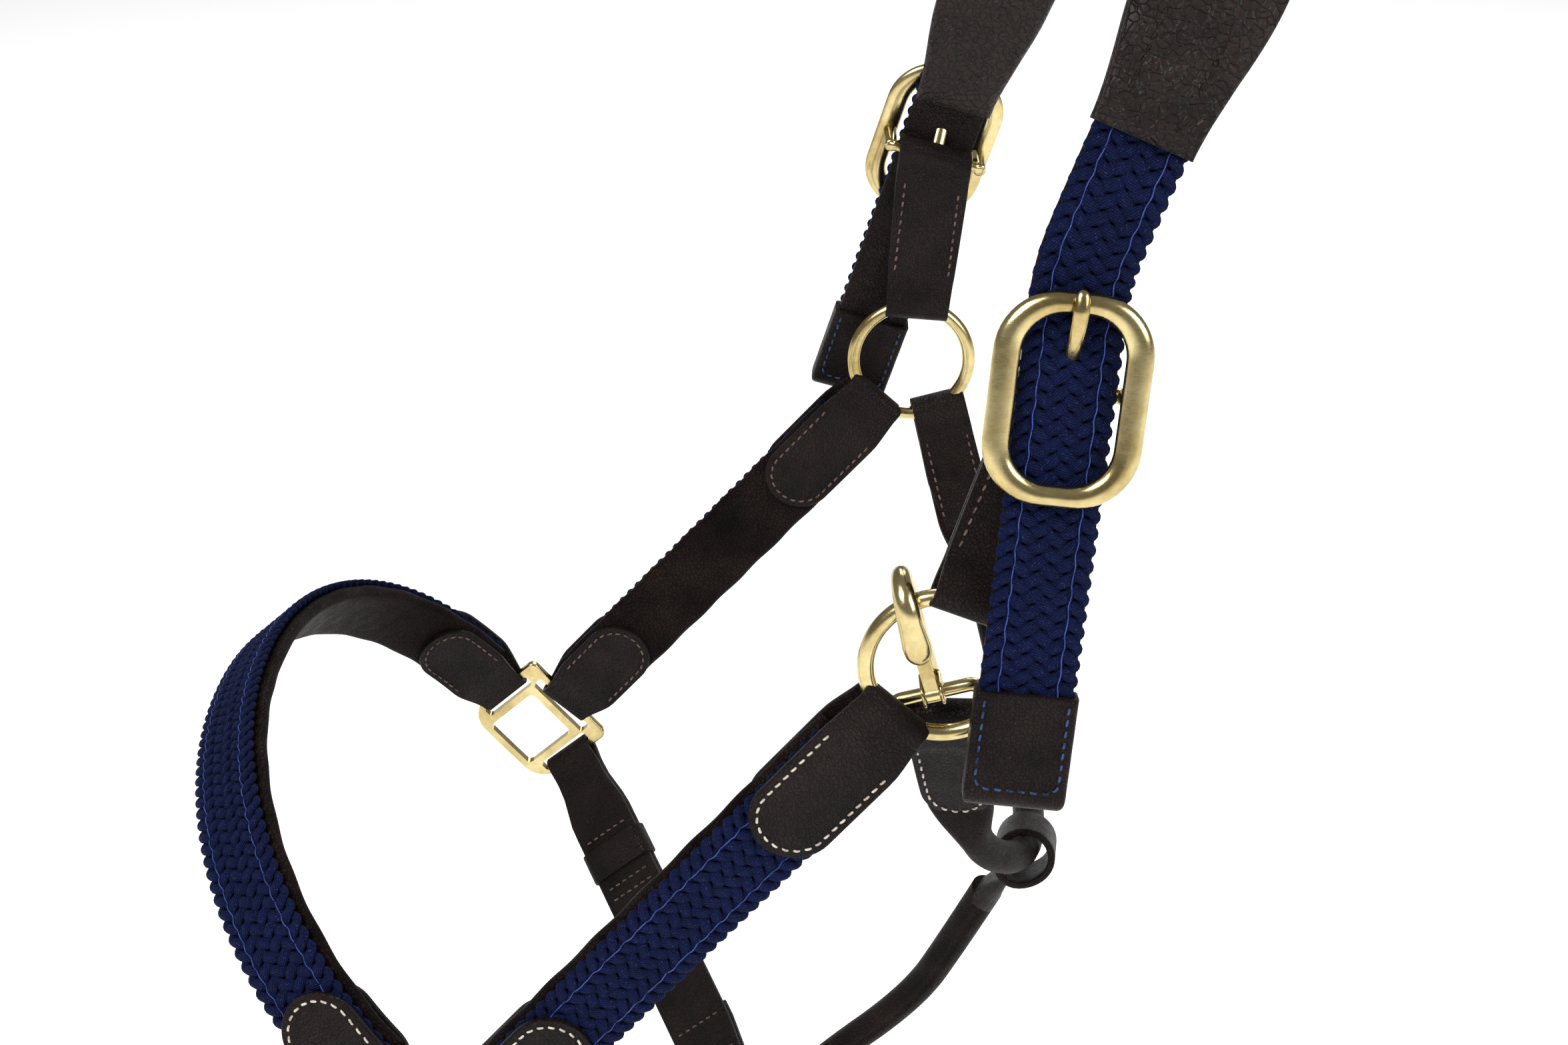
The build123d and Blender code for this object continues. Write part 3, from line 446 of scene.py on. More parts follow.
# ---- Braid ---------------------------------------------------------------------------------------
def braid_mesh(strap, start, stop, base, sizes):
    """Flat braid of cords: each cord's line is a rounded zigzag across the strap that rises over one
    column and dips under the next, in step with its place across; an oval section is carried along it.

    Returns points, faces and (distance along the cord, turn round it) for each point.
    """
    cords, column, row = sizes.cords, sizes.column / MM, sizes.row / MM
    reach = column * (cords - 1) / 2
    period = cords * row
    per_period = 14 * (cords - 1)
    count = int((stop - start) / period * per_period) + 1
    s = np.linspace(start, stop, count)
    sides = 10
    turn = full_turn(sides)
    parts, uvs = [], []
    for cord in range(cords):
        phase = 2 * pi * (s / period + cord / cords)
        swing = np.arcsin(0.985 * np.sin(phase)) / np.arcsin(0.985)
        x = reach * swing
        heading = np.tanh(6 * np.cos(phase))
        n = CORD_WAVE * np.cos(pi * (x + reach - column / 2) / column) * heading
        flat = np.stack([s, x, n], axis=1)
        along = unit(np.gradient(flat, axis=0))
        sideways = square_to(np.array([0.0, 0.0, 1.0]), along)
        wide = np.cross(along, sideways)
        lean = np.abs(swing) ** 8 * 0.25
        cross = (wide[:, None] * (np.cos(turn)[None, :] * CORD_HALF_WIDE * (1 - lean[:, None]))[..., None]
                 + sideways[:, None] * (np.sin(turn) * CORD_HALF_THICK)[None, :, None])
        local = flat[:, None] + cross
        local[..., 0] = np.clip(local[..., 0], start - 1, stop + 1)
        run = distances(flat)
        points = capped(strap.lay(local[..., 0], local[..., 1], base + local[..., 2]))
        rows = points.shape[0]
        run = np.interp(np.arange(rows), np.arange(len(run)) + 3, run)
        uv = np.stack(np.broadcast_arrays(run[:, None], turn[None, :] / (2 * pi)), axis=-1)
        uvs.append(uv.reshape(-1, 2))
        parts.append((points.reshape(-1, 3), grid_faces(rows, sides)))
    points, faces = join_meshes(parts)
    return points, faces, np.vstack(uvs)


def thread_line(strap, start, stop, x, height, pitch=4.4, radius=0.17):
    """A run of sewing along a braid: one thin thread that rises and dips once in each stitch."""
    s = np.arange(start, stop, pitch / 8)
    n = height + 0.75 * np.abs(np.cos(pi * s / pitch)) - 0.62
    wander = 0.18 * np.sin(s * 0.9)
    return tube_mesh(strap.lay(s, x + wander, n), radius, 6)


# ---- Stitches ------------------------------------------------------------------------------------
def stitch_mesh(strap, route, height, length=2.3, gap=0.75, radius=0.36, slant=0.12, bend=None):
    """Saddle stitches along a route of (s, x) points: one small arched spindle for each stitch."""
    route = np.asarray(route, float)
    far = distances(route)
    count = max(int(far[-1] // (length + gap)), 1)
    starts = (np.arange(count) + 0.5) * far[-1] / count - length / 2
    rings, sides = 7, 6
    t = np.linspace(0, 1, rings)
    place = starts[:, None] + t[None, :] * length
    s = np.interp(place, far, route[:, 0])
    x = np.interp(place, far, route[:, 1])
    ds = (s[:, -1] - s[:, 0])[:, None]
    dx = (x[:, -1] - x[:, 0])[:, None]
    size = np.hypot(ds, dx)
    side_s, side_x = -dx / size, ds / size
    off = (t - 0.5)[None, :] * 2 * slant
    s, x = s + side_s * off, x + side_x * off
    thick = radius * np.sqrt(np.clip(1 - (2 * t - 1) ** 4, 0.02, 1))[None, :, None]
    rise = height + radius * (1.2 * np.sin(pi * t) ** 0.6 - 0.75)
    turn = full_turn(sides)[None, None, :]
    big_s = s[..., None] + side_s[..., None] * np.cos(turn) * thick
    big_x = x[..., None] + side_x[..., None] * np.cos(turn) * thick
    big_n = rise[None, :, None] + np.sin(turn) * thick * 0.85
    if bend is not None:
        big_s, big_x, big_n = bend(big_s, big_x, big_n)
    points = strap.lay(big_s, big_x, big_n)
    block = rings * sides
    one = grid_faces(rings, sides)
    caps = np.array([[0, 1, 2, 3], [0, 3, 4, 5]])
    one = np.vstack([one, caps[:, ::-1], caps + block - sides])
    faces = one[None] + (np.arange(count) * block)[:, None, None]
    return points.reshape(-1, 3), faces.reshape(-1, 4)


def flipped(s, x, n):
    return s, x, -n


def both_faces(strap, route, height):
    """The same stitches on a strap's outer and inner face."""
    return [stitch_mesh(strap, route, height), stitch_mesh(strap, route, height, bend=flipped)]


def lengthwise(run, x):
    """A straight route along a strap at x across it."""
    return np.stack([run, x + 0 * run], axis=1)


def tab_route(start, reach, point, half, inset):
    """Sewing round a tab: along one edge, round the point in a half ellipse and back along the other edge."""
    turn = np.linspace(0, pi, 24)
    x = (half - inset) * np.cos(turn)
    s = reach - point + (point - inset) * np.sin(turn)
    return np.vstack([[start, half - inset], np.stack([s, x], axis=1), [start, inset - half]])


def tab_half(s, reach, point, half):
    """Half the width of a tab with a rounded point."""
    over = np.clip((s - (reach - point)) / point, 0, 1)
    return half * np.sqrt(np.clip(1 - over**2, 0.0004, 1))


# ---- Materials -----------------------------------------------------------------------------------
def linear(code):
    """An sRGB hex colour as linear red, green, blue and 1."""
    parts = [int(code[i:i + 2], 16) / 255 for i in (1, 3, 5)]
    return tuple(c / 12.92 if c <= 0.04045 else ((c + 0.055) / 1.055) ** 2.4 for c in parts) + (1.0,)


def node(tree, kind, settings=None, **links):
    """Add a node; settings are its properties, links its inputs (socket names with _ for spaces)."""
    made = tree.nodes.new("ShaderNode" + kind)
    for key, value in (settings or {}).items():
        setattr(made, key, value)
    for key, value in links.items():
        socket = made.inputs[int(key[1:])] if key[0] == "i" and key[1:].isdigit() else made.inputs[
            key.replace("_", " ")]
        if isinstance(value, bpy.types.NodeSocket):
            tree.links.new(value, socket)
        else:
            socket.default_value = value
    return made


def new_material(name, **surface):
    """A material with one shader, whose uniform values are set on its own sockets."""
    material = bpy.data.materials.new(name)
    material.use_nodes = True
    tree = material.node_tree
    shader = tree.nodes["Principled BSDF"]
    for key, value in surface.items():
        shader.inputs[key.replace("_", " ")].default_value = value
    return material, tree, shader


def ramp(tree, factor, *stops):
    """A colour ramp; each stop is (position, colour)."""
    made = node(tree, "ValToRGB", i0=factor)
    elements = made.color_ramp.elements
    while len(elements) < len(stops):
        elements.new(0.5)
    for element, (position, colour) in zip(elements, stops):
        element.position = position
        element.color = colour
    return made.outputs["Color"]


def grey(value):
    return (value, value, value, 1.0)


def place(tree):
    return tree.nodes.new("ShaderNodeTexCoord").outputs["Object"]


def math(tree, operation, first, second=0.0):
    return node(tree, "Math", {"operation": operation}, i0=first, i1=second).outputs[0]


def noise(tree, where, scale, detail, **more):
    return node(tree, "TexNoise", Vector=where, Scale=scale, Detail=detail, **more).outputs["Fac"]


def mixed(tree, *terms):
    """The sum of outputs, each times its weight."""
    total = 0.0
    for value, weight in terms:
        total = math(tree, "ADD", total, math(tree, "MULTIPLY", value, weight))
    return total


def ranged(tree, value, low, high, to_low, to_high):
    return node(tree, "MapRange", i0=value, i1=low, i2=high, i3=to_low, i4=to_high).outputs[0]


def finish_surface(tree, shader, height, strength, distance, **sockets):
    """Link a bump made from a height, and the outputs for the shader's other sockets."""
    sockets["Normal"] = node(tree, "Bump", Strength=strength, Distance=distance, Height=height).outputs[0]
    for name, output in sockets.items():
        tree.links.new(output, shader.inputs[name.replace("_", " ")])


def leather(name, dark, light, rough=0.42, pore=1.1, crease=0.0, shine=0.12):
    """Vegetable-tanned harness leather, dyed through and waxed: a fine pebbled grain (pits about a millimetre
    apart) with painted shade in the pits, so the raised grain between them reads as a painted sheen, slow
    blotches where the dye took more, dull scuffs, and a soft waxy shine."""
    material, tree, shader = new_material(name, IOR=1.5, Specular_IOR_Level=shine)
    where = place(tree)
    wander = node(tree, "TexNoise", Vector=where, Scale=350 / pore, Detail=2.0).outputs["Color"]
    bent = node(tree, "VectorMath", {"operation": "MULTIPLY_ADD"}, i0=wander, i1=(0.0012 * pore,) * 3,
                i2=where)
    cells = node(tree, "TexVoronoi", {"feature": "DISTANCE_TO_EDGE"}, Vector=bent.outputs[0],
                 Scale=1000 / pore, Randomness=1.0).outputs["Distance"]
    fine = noise(tree, where, 1400.0, 3.0)
    blotch = noise(tree, where, 55.0, 5.0, Roughness=0.6)
    scuff = noise(tree, where, 190.0, 8.0, Roughness=0.7)
    tone = ramp(tree, blotch, (0.3, linear(dark)), (0.72, linear(light)))
    worn = ramp(tree, scuff, (0.55, grey(0.0)), (0.78, grey(0.5)))
    # painted shade: the colour falls to 0.3 in the grain's pits, so the raised grain between them reads as a
    # painted sheen
    pore_shade = ramp(tree, cells, (0.0, grey(0.3)), (0.2, grey(1.0)))
    rubbed = node(tree, "Mix", {"data_type": "RGBA"}, i0=worn, i6=tone, i7=linear(light)).outputs[2]
    colour = node(tree, "Mix", {"data_type": "RGBA", "blend_type": "MULTIPLY"}, i0=0.8, i6=rubbed, i7=pore_shade)
    height = mixed(tree, (math(tree, "MINIMUM", cells, 0.12), 5.0), (fine, 0.3))
    if crease:
        warped = noise(tree, where, 95.0, 4.0, Distortion=1.4)
        folds = math(tree, "ABSOLUTE", math(tree, "SUBTRACT", warped, 0.5))
        height = mixed(tree, (height, 1.0), (math(tree, "MINIMUM", folds, 0.08), crease))
    finish_surface(tree, shader, height, 0.9, 0.0002 + 0.00012 * pore, Base_Color=colour.outputs[2],
                   Roughness=ranged(tree, scuff, 0.3, 0.75, rough - 0.08, rough + 0.16))
    return material


def cotton_cord(name, dark, light, fleck):
    """Braided cotton cord: many fine twisted yarns (about 0.5 mm) that lie slanted along the cord, dull, with
    a soft fuzz at its edges, painted shade between the yarns, painted highlight on their tops, and a few pale
    fibre ends."""
    material, tree, shader = new_material(name, Roughness=0.8, Sheen_Weight=0.06, Sheen_Roughness=0.4,
                                          IOR=1.45, Specular_IOR_Level=0.12)
    shader.inputs["Sheen Tint"].default_value = linear(fleck)
    uv = tree.nodes.new("ShaderNodeUVMap")
    uv.uv_map = "along"
    split = node(tree, "SeparateXYZ", Vector=uv.outputs[0])
    along, turn = split.outputs[0], split.outputs[1]
    yarn = math(tree, "SINE", mixed(tree, (along, 0.62 * 2 * pi), (turn, 14.0 * 2 * pi)))
    ply = math(tree, "SINE", mixed(tree, (along, 2.6 * 2 * pi), (turn, -9.0 * 2 * pi)))
    where = place(tree)
    mottled = noise(tree, where, 900.0, 4.0, Roughness=0.7)
    slow = math(tree, "SUBTRACT", noise(tree, where, 70.0, 2.0), 0.5)
    # painted shade between the yarns and painted highlight on their tops, from the yarn and ply waves, mixed
    # with random mottling
    yarn_shade_and_mottle = mixed(tree, (yarn, 0.24), (mottled, 1.0), (ply, 0.16), (slow, 0.35))
    base = ramp(tree, yarn_shade_and_mottle, (0.25, linear(dark)), (0.72, linear(light)))
    shown = ramp(tree, noise(tree, where, 2300.0, 2.0), (0.62, grey(0.0)), (0.74, grey(0.55)))
    colour = node(tree, "Mix", {"data_type": "RGBA"}, i0=shown, i6=base, i7=linear(fleck))
    finish_surface(tree, shader, mixed(tree, (yarn, 0.6), (ply, 0.35), (mottled, 0.8)), 0.8, 0.00035,
                   Base_Color=colour.outputs[2])
    return material


def waxed_thread(name, dark, light):
    """Waxed linen thread: pale twisted plies under half a millimetre, slightly glossy, soiled in places."""
    material, tree, shader = new_material(name, Roughness=0.6, Specular_IOR_Level=0.15)
    where = place(tree)
    soil = noise(tree, where, 420.0, 4.0)
    plies = node(tree, "TexWave", {"bands_direction": "DIAGONAL"}, Vector=where, Scale=420.0, Distortion=2.0)
    finish_surface(tree, shader, plies.outputs["Fac"], 0.4, 0.0001,
                   Base_Color=ramp(tree, soil, (0.35, linear(dark)), (0.6, linear(light))))
    return material


def cast_brass(name, dark, light, rough=0.19):
    """Solid cast brass, tumbled and hand-polished: yellow metal with fine wheel scratches, shallow casting
    pits about 2 mm apart, and a little brown tarnish."""
    material, tree, shader = new_material(name, Metallic=1.0)
    where = place(tree)
    tarnish = noise(tree, where, 60.0, 6.0, Roughness=0.65)
    drawn = node(tree, "Mapping", Vector=where, Scale=(1.0, 1.0, 9.0))
    scratch = noise(tree, drawn.outputs[0], 520.0, 5.0, Roughness=0.7)
    lumps = noise(tree, where, 320.0, 3.0)
    finish_surface(tree, shader, mixed(tree, (lumps, 1.0), (scratch, 0.25)), 0.06, 0.0003,
                   Base_Color=ramp(tree, tarnish, (0.3, linear(dark)), (0.62, linear(light))),
                   Roughness=ranged(tree, scratch, 0.3, 0.7, rough - 0.06, rough + 0.09))
    return material


def painted_floor(name, colour):
    """Matt white studio board with a faint unevenness."""
    material, tree, shader = new_material(name, Roughness=0.9, Emission_Strength=0.5)
    shader.inputs["Emission Color"].default_value = (1.0, 1.0, 1.0, 1.0)
    faint = ramp(tree, noise(tree, place(tree), 6.0, 3.0), (0.0, linear(colour)), (1.0, linear("#fbfbfb")))
    tree.links.new(faint, shader.inputs["Base Color"])
    return material


MATERIALS = {}


def finish_named(name):
    """A finish by name, made the first time it is asked for from the colours in the panel."""
    if name not in MATERIALS:
        c = bpy.context.scene.headcollar_colours
        hide = (hex_of(c.leather_dark), hex_of(c.leather_light))
        makers = {
            "braid": lambda: cotton_cord("navy cotton cord", hex_of(c.braid_dark), hex_of(c.braid_light),
                                         hex_of(c.braid_fleck)),
            "leather": lambda: leather("black-brown bridle leather", *hide),
            "pad": lambda: leather("soft glove leather", hex_of(c.pad_dark), hex_of(c.pad_light), rough=0.42,
                                   pore=2.3, crease=7.0, shine=0.22),
            "lining": lambda: leather("smooth lining leather", *hide, rough=0.5, pore=1.3, crease=2.0,
                                      shine=0.04),
            "rolled": lambda: leather("rolled leather", *hide, rough=0.45, pore=1.0, crease=1.5, shine=0.05),
            "cream": lambda: waxed_thread("natural linen thread", "#a99e92", hex_of(c.thread)),
            "rose": lambda: waxed_thread("brown linen thread", "#4a3b35", hex_of(c.inner_thread)),
            "steel": lambda: waxed_thread("steel blue linen thread", "#1d2740", hex_of(c.tip_thread)),
            "dark": lambda: waxed_thread("dark linen thread", "#0f0a09", "#2a1f1b"),
            "blue": lambda: waxed_thread("blue linen thread", "#2c3a72", hex_of(c.braid_thread)),
            "brass": lambda: cast_brass("polished cast brass", hex_of(c.brass_dark), hex_of(c.brass_light)),
        }
        MATERIALS[name] = makers[name]()
    return MATERIALS[name]


def hex_of(colour):
    """A panel colour (linear) as sRGB hex."""
    parts = [12.92 * c if c <= 0.0031308 else 1.055 * c ** (1 / 2.4) - 0.055 for c in colour[:3]]
    return "#" + "".join(f"{round(255 * min(max(c, 0), 1)):02x}" for c in parts)


# ---- Pieces: poll pad and billets ----------------------------------------------------------------
def ripple(s, x, depth, length=17.0):
    """Soft creases: three sine waves of unlike lengths and slants added up, in millimetres."""
    first = np.sin(2 * pi * (s / length + 0.018 * x))
    second = np.sin(2 * pi * (s / (length * 0.57) - 0.035 * x) + 1.3)
    third = np.sin(2 * pi * (s / (length * 0.23) + 0.06 * x) + 0.4)
    return depth * (0.5 * first + 0.32 * second + 0.18 * third)


def ease(t):
    """A smooth step from 0 to 1."""
    t = np.clip(t, 0, 1)
    return t * t * (3 - 2 * t)


def leather_piece(name, mesh, body, *nodes):
    new_piece(name, *mesh, finish_named("leather"), body, "strap_leather", nodes)


def sewing(name, parts, thread, body, slot="strap_leather"):
    new_piece(name + "_stitching", *join_meshes(parts), finish_named(thread), body, slot)


def build_poll_pad():
    """The pad over the poll: a stuffed leather lining with rounded sides, and a cover laid over the braid.

    Each is a rounded section carried along the crown; the stuffed one swells between its edges and carries
    soft creases, and both narrow at the ends by a smooth step.
    """
    crown = crown_strap()
    start = BELOW[NEAR] + COVER_FROM[NEAR]
    stop = crown.length - BELOW[FAR] - COVER_FROM[FAR]
    s = np.linspace(start, stop, 150)
    near_end = ease((s - start) / 42)
    far_end = ease((stop - s) / 30)
    half = 13.2 + 4.8 * near_end * (0.35 + 0.65 * far_end)
    half_thick = round_off((s - start) / 2.2, 0.05)

    def crowned(s, x, n):
        edge = np.clip(np.abs(x) / 17.0, 0, 1)
        drop = 1.6 * edge**3.2
        seam = 0.5 * np.exp(-((np.abs(x) - POLL_SEAM) / 0.9) ** 2)
        puff = 0.75 * np.exp(-((np.abs(x) - 12.4) / 2.6) ** 2) + 0.4 * np.exp(-((x / 5.0) ** 2))
        side = np.where(n > 0, 1.0, 0.5)
        return (puff - seam) * side - drop + ripple(s, x, 0.28) * side * (0.4 + edge)

    points, faces = strip_mesh(crown, s, 3.375, half, half_thick, 0.9, swell=crowned)
    cover = new_piece("poll_cover", points, faces, finish_named("pad"), "crown", "padded_leather",
                      ["headpiece_cover"])
    stop = crown.length - BELOW[FAR] - PAD_FROM[FAR]
    s = np.linspace(start, stop, 170)
    near_end = ease((s - start) / 42)
    far_end = ease((stop - s) / 40)
    half = 12.9 + 5.0 * near_end * far_end
    thick = 3.72 * (1 - 0.55 * (1 - np.sqrt(ease((s - start) / 12) * ease((stop - s) / 12))))

    def stuffed(s, x, n):
        middle = 1 - np.clip(np.abs(x) / 18, 0, 1) ** 2
        return np.sign(n) * ((0.12 + ripple(s, x, 0.3, 21.0)) * (0.35 + middle) - 0.25)

    points, faces = strip_mesh(crown, s, -6.2, half, thick, 3.4, swell=stuffed)
    pad = new_piece("poll_pad", points, faces, finish_named("pad"), "crown", "padded_leather",
                    ["headpiece_foam", "headpiece_lining"])
    route_s = np.linspace(start + 6, crown.length - BELOW[FAR] - COVER_FROM[FAR] - 4, 60)
    parts = [stitch_mesh(crown, lengthwise(route_s, x), 4.05, 2.2, 0.9, 0.3) for x in (-POLL_SEAM, POLL_SEAM)]
    cross = np.stack([np.full(12, start + 5.5), np.linspace(-POLL_SEAM, POLL_SEAM, 12)], axis=1)
    parts.append(stitch_mesh(crown, cross, 4.3, 2.2, 0.9, 0.3))
    sewing("poll_cover", parts, "dark", "crown", "padded_leather")


def braid_piece(name, strap, start, stop, base, body, nodes):
    """The braid of one strap, and the two blue threads sewn along its outer face."""
    sizes = bpy.context.scene.headcollar_sizes
    points, faces, uv = braid_mesh(strap, start, stop, base, sizes)
    new_piece(name, points, faces, finish_named("braid"), body, "braid", nodes, uv)
    line = 2 * sizes.column / MM
    parts = [thread_line(strap, start, stop, x, base + 1.42) for x in (-line, line)]
    new_piece(name + "_thread", *join_meshes(parts), finish_named("blue"), body, "braid")


def build_billets():
    """Each billet: braid, a thin backing strap and a folded leather tip sewn round three sides."""
    crown = crown_strap()
    ends = {NEAR: (0.0, BELOW[NEAR] + PAD_FROM[NEAR] + 14),
            FAR: (crown.length - BELOW[FAR] - COVER_FROM[FAR] - 14, crown.length)}
    for name, side in SIDES:
        low, high = ends[side]
        tip = low if side == NEAR else high
        inward = 1 if side == NEAR else -1
        nodes = ["crown_braid"] if side == NEAR else []
        span = (low + 3, high) if side == NEAR else (low, high - 3)
        braid_piece(name + "_billet_braid", crown, *span, 0.825, "crown", nodes)
        s = np.linspace(low + 1, high - 1, 60)
        leather_piece(name + "_billet_backing", strip_mesh(crown, s, -1.525, 12.2, 0.8, 0.5), "crown",
                      *(["crown_backing"] if side == NEAR else []))
        reach = np.linspace(-1.6, 30, 40)
        round_end = round_off((reach + 1.75) / 4.2, 0.02)
        soft = 1 + 0.02 * np.sin(reach * 0.7)
        cap = strip_mesh(crown, tip + inward * reach, 0.0, 13.4 - 1.2 * (1 - round_end),
                         4.0 * round_end * soft, 1.5)
        leather_piece(name + "_billet_cap", cap, "crown", name + "_billet_tip")
        corner = np.linspace(0, pi / 2, 7)
        left = np.stack([3.9 + 3 - 3 * np.sin(corner), 10.9 - 3 + 3 * np.cos(corner)], axis=1)
        right = np.stack([left[::-1, 0], -left[::-1, 1]], axis=1)
        route = np.vstack([[[28.5, 10.9]], left, right, [[28.5, -10.9]]])
        route[:, 0] = tip + inward * route[:, 0]
        sewing(name + "_billet_cap", both_faces(crown, route, 3.98), "steel", "crown")


# ---- Folded leather: chapes, tabs, straps --------------------------------------------------------
def turn_round(at, radius, level, run, flip=1, count=15):
    """Middle line (s, n) of leather coming in at a level, going round a bar at s = at, and out at minus it.

    Half a circle of the given radius about the bar, and each side eases from the circle to its level.
    """
    t = np.linspace(0, 1, 9)
    swing = np.linspace(pi / 2, 3 * pi / 2, count)
    circle_s, circle_n = at + flip * radius * np.cos(swing), radius * np.sin(swing)
    ease_s = at + flip * run * t[1:]
    ease_n = radius + (level - radius) * ease(t[1:])
    s = np.concatenate([ease_s[::-1], circle_s, ease_s])
    n = np.concatenate([ease_n[::-1], circle_n, -ease_n])
    return s, n


def build_chapes():
    """Each chape: leather folded round the cheek ring and the buckle's bar, its faces sewn together.

    The leather's middle line is a closed loop in the chape's plane.
    """
    for name, side in SIDES:
        chape = chape_strap(side)
        level = CHAPE_THICK / 2 + 0.03
        low_s, low_n = turn_round(0.0, WIRE / 2 + LOOSE + CHAPE_THICK / 2, level, 11)
        high_s, high_n = turn_round(chape.length, BAR / 2 + LOOSE + CHAPE_THICK / 2, level, 8, -1)
        straight = np.linspace(11, chape.length - 8, 14)[1:-1]
        s = np.concatenate([low_s, straight, high_s[::-1], straight[::-1]])
        n = np.concatenate([low_n, -level + 0 * straight, high_n[::-1], level + 0 * straight])
        half = np.interp(s, [0, 14, chape.length - 12, chape.length], [10.8, 11.6, 12.5, 12.5])
        folded = strip_mesh(chape, s, n, half, CHAPE_THICK / 2, 0.55, closed=True)
        leather_piece(name + "_chape", folded, "crown", name + "_buckle_chape")
        run = np.linspace(13.0, chape.length - 10.5, 12)
        parts = [part for x in (-9.3, 9.3) for part in both_faces(chape, lengthwise(run, x), 2.2)]
        sewing(name + "_chape", parts, "rose", "crown")


def leaf_line(start, reach, point, straight, rounded):
    """Distances along one leaf of a fold, closer together round its point."""
    return np.concatenate([np.linspace(start, reach - point, straight)[1:],
                           reach - point + point * np.sin(np.linspace(0, pi / 2, rounded)[1:])])


def laid(route, s_of):
    """A route of (distance from a bar, x) as (s, x) on the strap."""
    return np.stack([s_of(route[:, 0]), route[:, 1]], axis=1)


def tab_piece(name, strap, s_of, reach, radius, level, stands_for, thread, root=11.0):
    """A tab: leather folded round a bar, with a leaf on each face of the strap that ends in a rounded point.

    s_of(distance from the bar) gives the distance along the strap. The sewing follows each leaf's outline.
    """
    half, point = STRAP_HALF, 12.0
    fold_s, fold_n = turn_round(0.0, radius, level, 11)
    leaf = leaf_line(11, reach, point, 10, 14)
    away = np.concatenate([leaf[::-1], fold_s, leaf])
    n = np.concatenate([level + 0 * leaf, fold_n, -level + 0 * leaf])
    width = np.minimum(tab_half(away, reach, point, half), np.interp(away, [0, 12], [root, half]))
    leather_piece(name, strip_mesh(strap, s_of(away), n, width, TAB_THICK / 2, 0.6), "face", stands_for)
    outline = laid(tab_route(12.5, reach, point, half, 2.3), s_of)
    sewing(name, both_faces(strap, outline, level + TAB_THICK / 2), thread, "face")


def lining_piece(name, strap, start, stop, stands_for):
    """A stuffed lining: a section wider than the braid, swollen along its middle and softly creased."""
    s = np.linspace(start, stop, int((stop - start) / 1.6))
    ends = np.sqrt(ease((s - start + 1) / 7) * ease((stop + 1 - s) / 7))

    def stuffed(s, x, n):
        middle = 1 - np.clip(np.abs(x) / 13.4, 0, 1) ** 2
        inner = np.where(n < 0, 1.0, 0.1)
        return np.sign(n) * inner * ((0.3 + ripple(s, x, 0.22, 13.0)) * middle)

    half_thick = 2.3 * (0.62 + 0.38 * ends)
    points, faces = strip_mesh(strap, s, -1.55, 13.2 + 0.2 * np.sin(s * 0.31), half_thick, 2.2, swell=stuffed)
    pad = new_piece(name, points, faces, finish_named("lining"), "face", "padded_leather",
                    [stands_for])
    run = np.linspace(start + 12, stop - 12, 90)
    parts = [stitch_mesh(strap, lengthwise(run, x), 3.35, 2.2, 1.0, 0.26,
                         bend=lambda s, x, n: (s, x, -n - 0.2)) for x in (-10.6, 10.6)]
    sewing(name, parts, "rose", "face", "padded_leather")


def build_cheeks():
    """Both cheekpieces: braid outside, stuffed lining inside, a folded tab at each end."""
    for name, side in SIDES:
        cheek = cheek_strap(side)
        end = cheek.length
        thread = "cream" if side == NEAR else "rose"
        level = STACK - TAB_THICK / 2
        braid_piece(name + "_cheek_cords", cheek, 13, end - 11, BRAID_LEVEL, "face", [name + "_cheek_braid"])
        lining_piece(name + "_cheek_pad", cheek, 12.5, end - 10.5, name + "_cheek_lining")
        tab_piece(name + "_cheek_ring_tab", cheek, lambda d: d, 50.0, WIRE / 2 + LOOSE + 1.0, level,
                  name + "_cheek_upper_tab", thread)
        tab_piece(name + "_cheek_square_tab", cheek, lambda d, end=end: end - d, 42.0, SQUARE_FOLD, level,
                  name + "_cheek_lower_tab", thread, root=9.6)


def build_noseband():
    """The noseband: braid outside, stuffed lining inside, and a folded tab at each halter square."""
    nose = nose_strap()
    end = nose.length
    level = STACK - TAB_THICK / 2 + 0.2
    braid_piece("noseband_cords", nose, 12, end - 12, BRAID_LEVEL, "face", ["noseband_braid"])
    lining_piece("noseband_pad", nose, 12, end - 12, "noseband_lining")
    for side, s_of, thread in (("far", lambda d: d, "rose"), ("near", lambda d: end - d, "cream")):
        tab_piece(side + "_nose_square_tab", nose, s_of, 40.0, SQUARE_FOLD, level, side + "_nose_tab", thread,
                  root=9.6)


def build_chin_straps():
    """Each chin strap: a flat strap folded round the square's bar and the chin ring, ends sewn back."""
    for name, side in SIDES:
        strap = chin_strap_line(side)
        end = strap.length
        level = FLAT_THICK / 2 + 0.03
        top_s, top_n = turn_round(0.0, SQUARE_FOLD, level, 9)
        low_s, low_n = turn_round(end, WIRE / 2 + LOOSE + FLAT_THICK / 2, level, 9, -1)
        tail = np.linspace(62, 9, 12)[:-1]
        middle = np.linspace(9, end - 9, 24)[1:-1]
        back = np.linspace(end - 9, end - 30, 8)[1:]
        s = np.concatenate([tail, top_s, middle, low_s[::-1], back])
        n = np.concatenate([level + 0 * tail, top_n, -level + 0 * middle, low_n[::-1], level + 0 * back])
        half = np.interp(s, [0, 14, 26, end - 24, end - 8, end], [9.6, 10.2, 12.5, 12.5, 10.8, 10.8])
        leather_piece(name + "_chin_strap_leather", strip_mesh(strap, s, n, half, FLAT_THICK / 2 - 0.02, 0.6),
                      "face", name + "_chin_strap")
        leather_piece(name + "_chin_strap_keeper", band_mesh(strap, 44.0, STRAP_HALF + 1.1, 3.45, 1.7, 12.0),
                      "face", name + "_chin_keeper")
        parts = []
        for row in (34.5, 54.5, 59.0, end - 14, end - 27):
            x = np.linspace(-9.8, 9.8, 14)
            route = np.stack([row + 0 * x, x], axis=1)
            parts += both_faces(strap, route, 2.4)
        sewing(name + "_chin_strap", parts, "rose", "face")


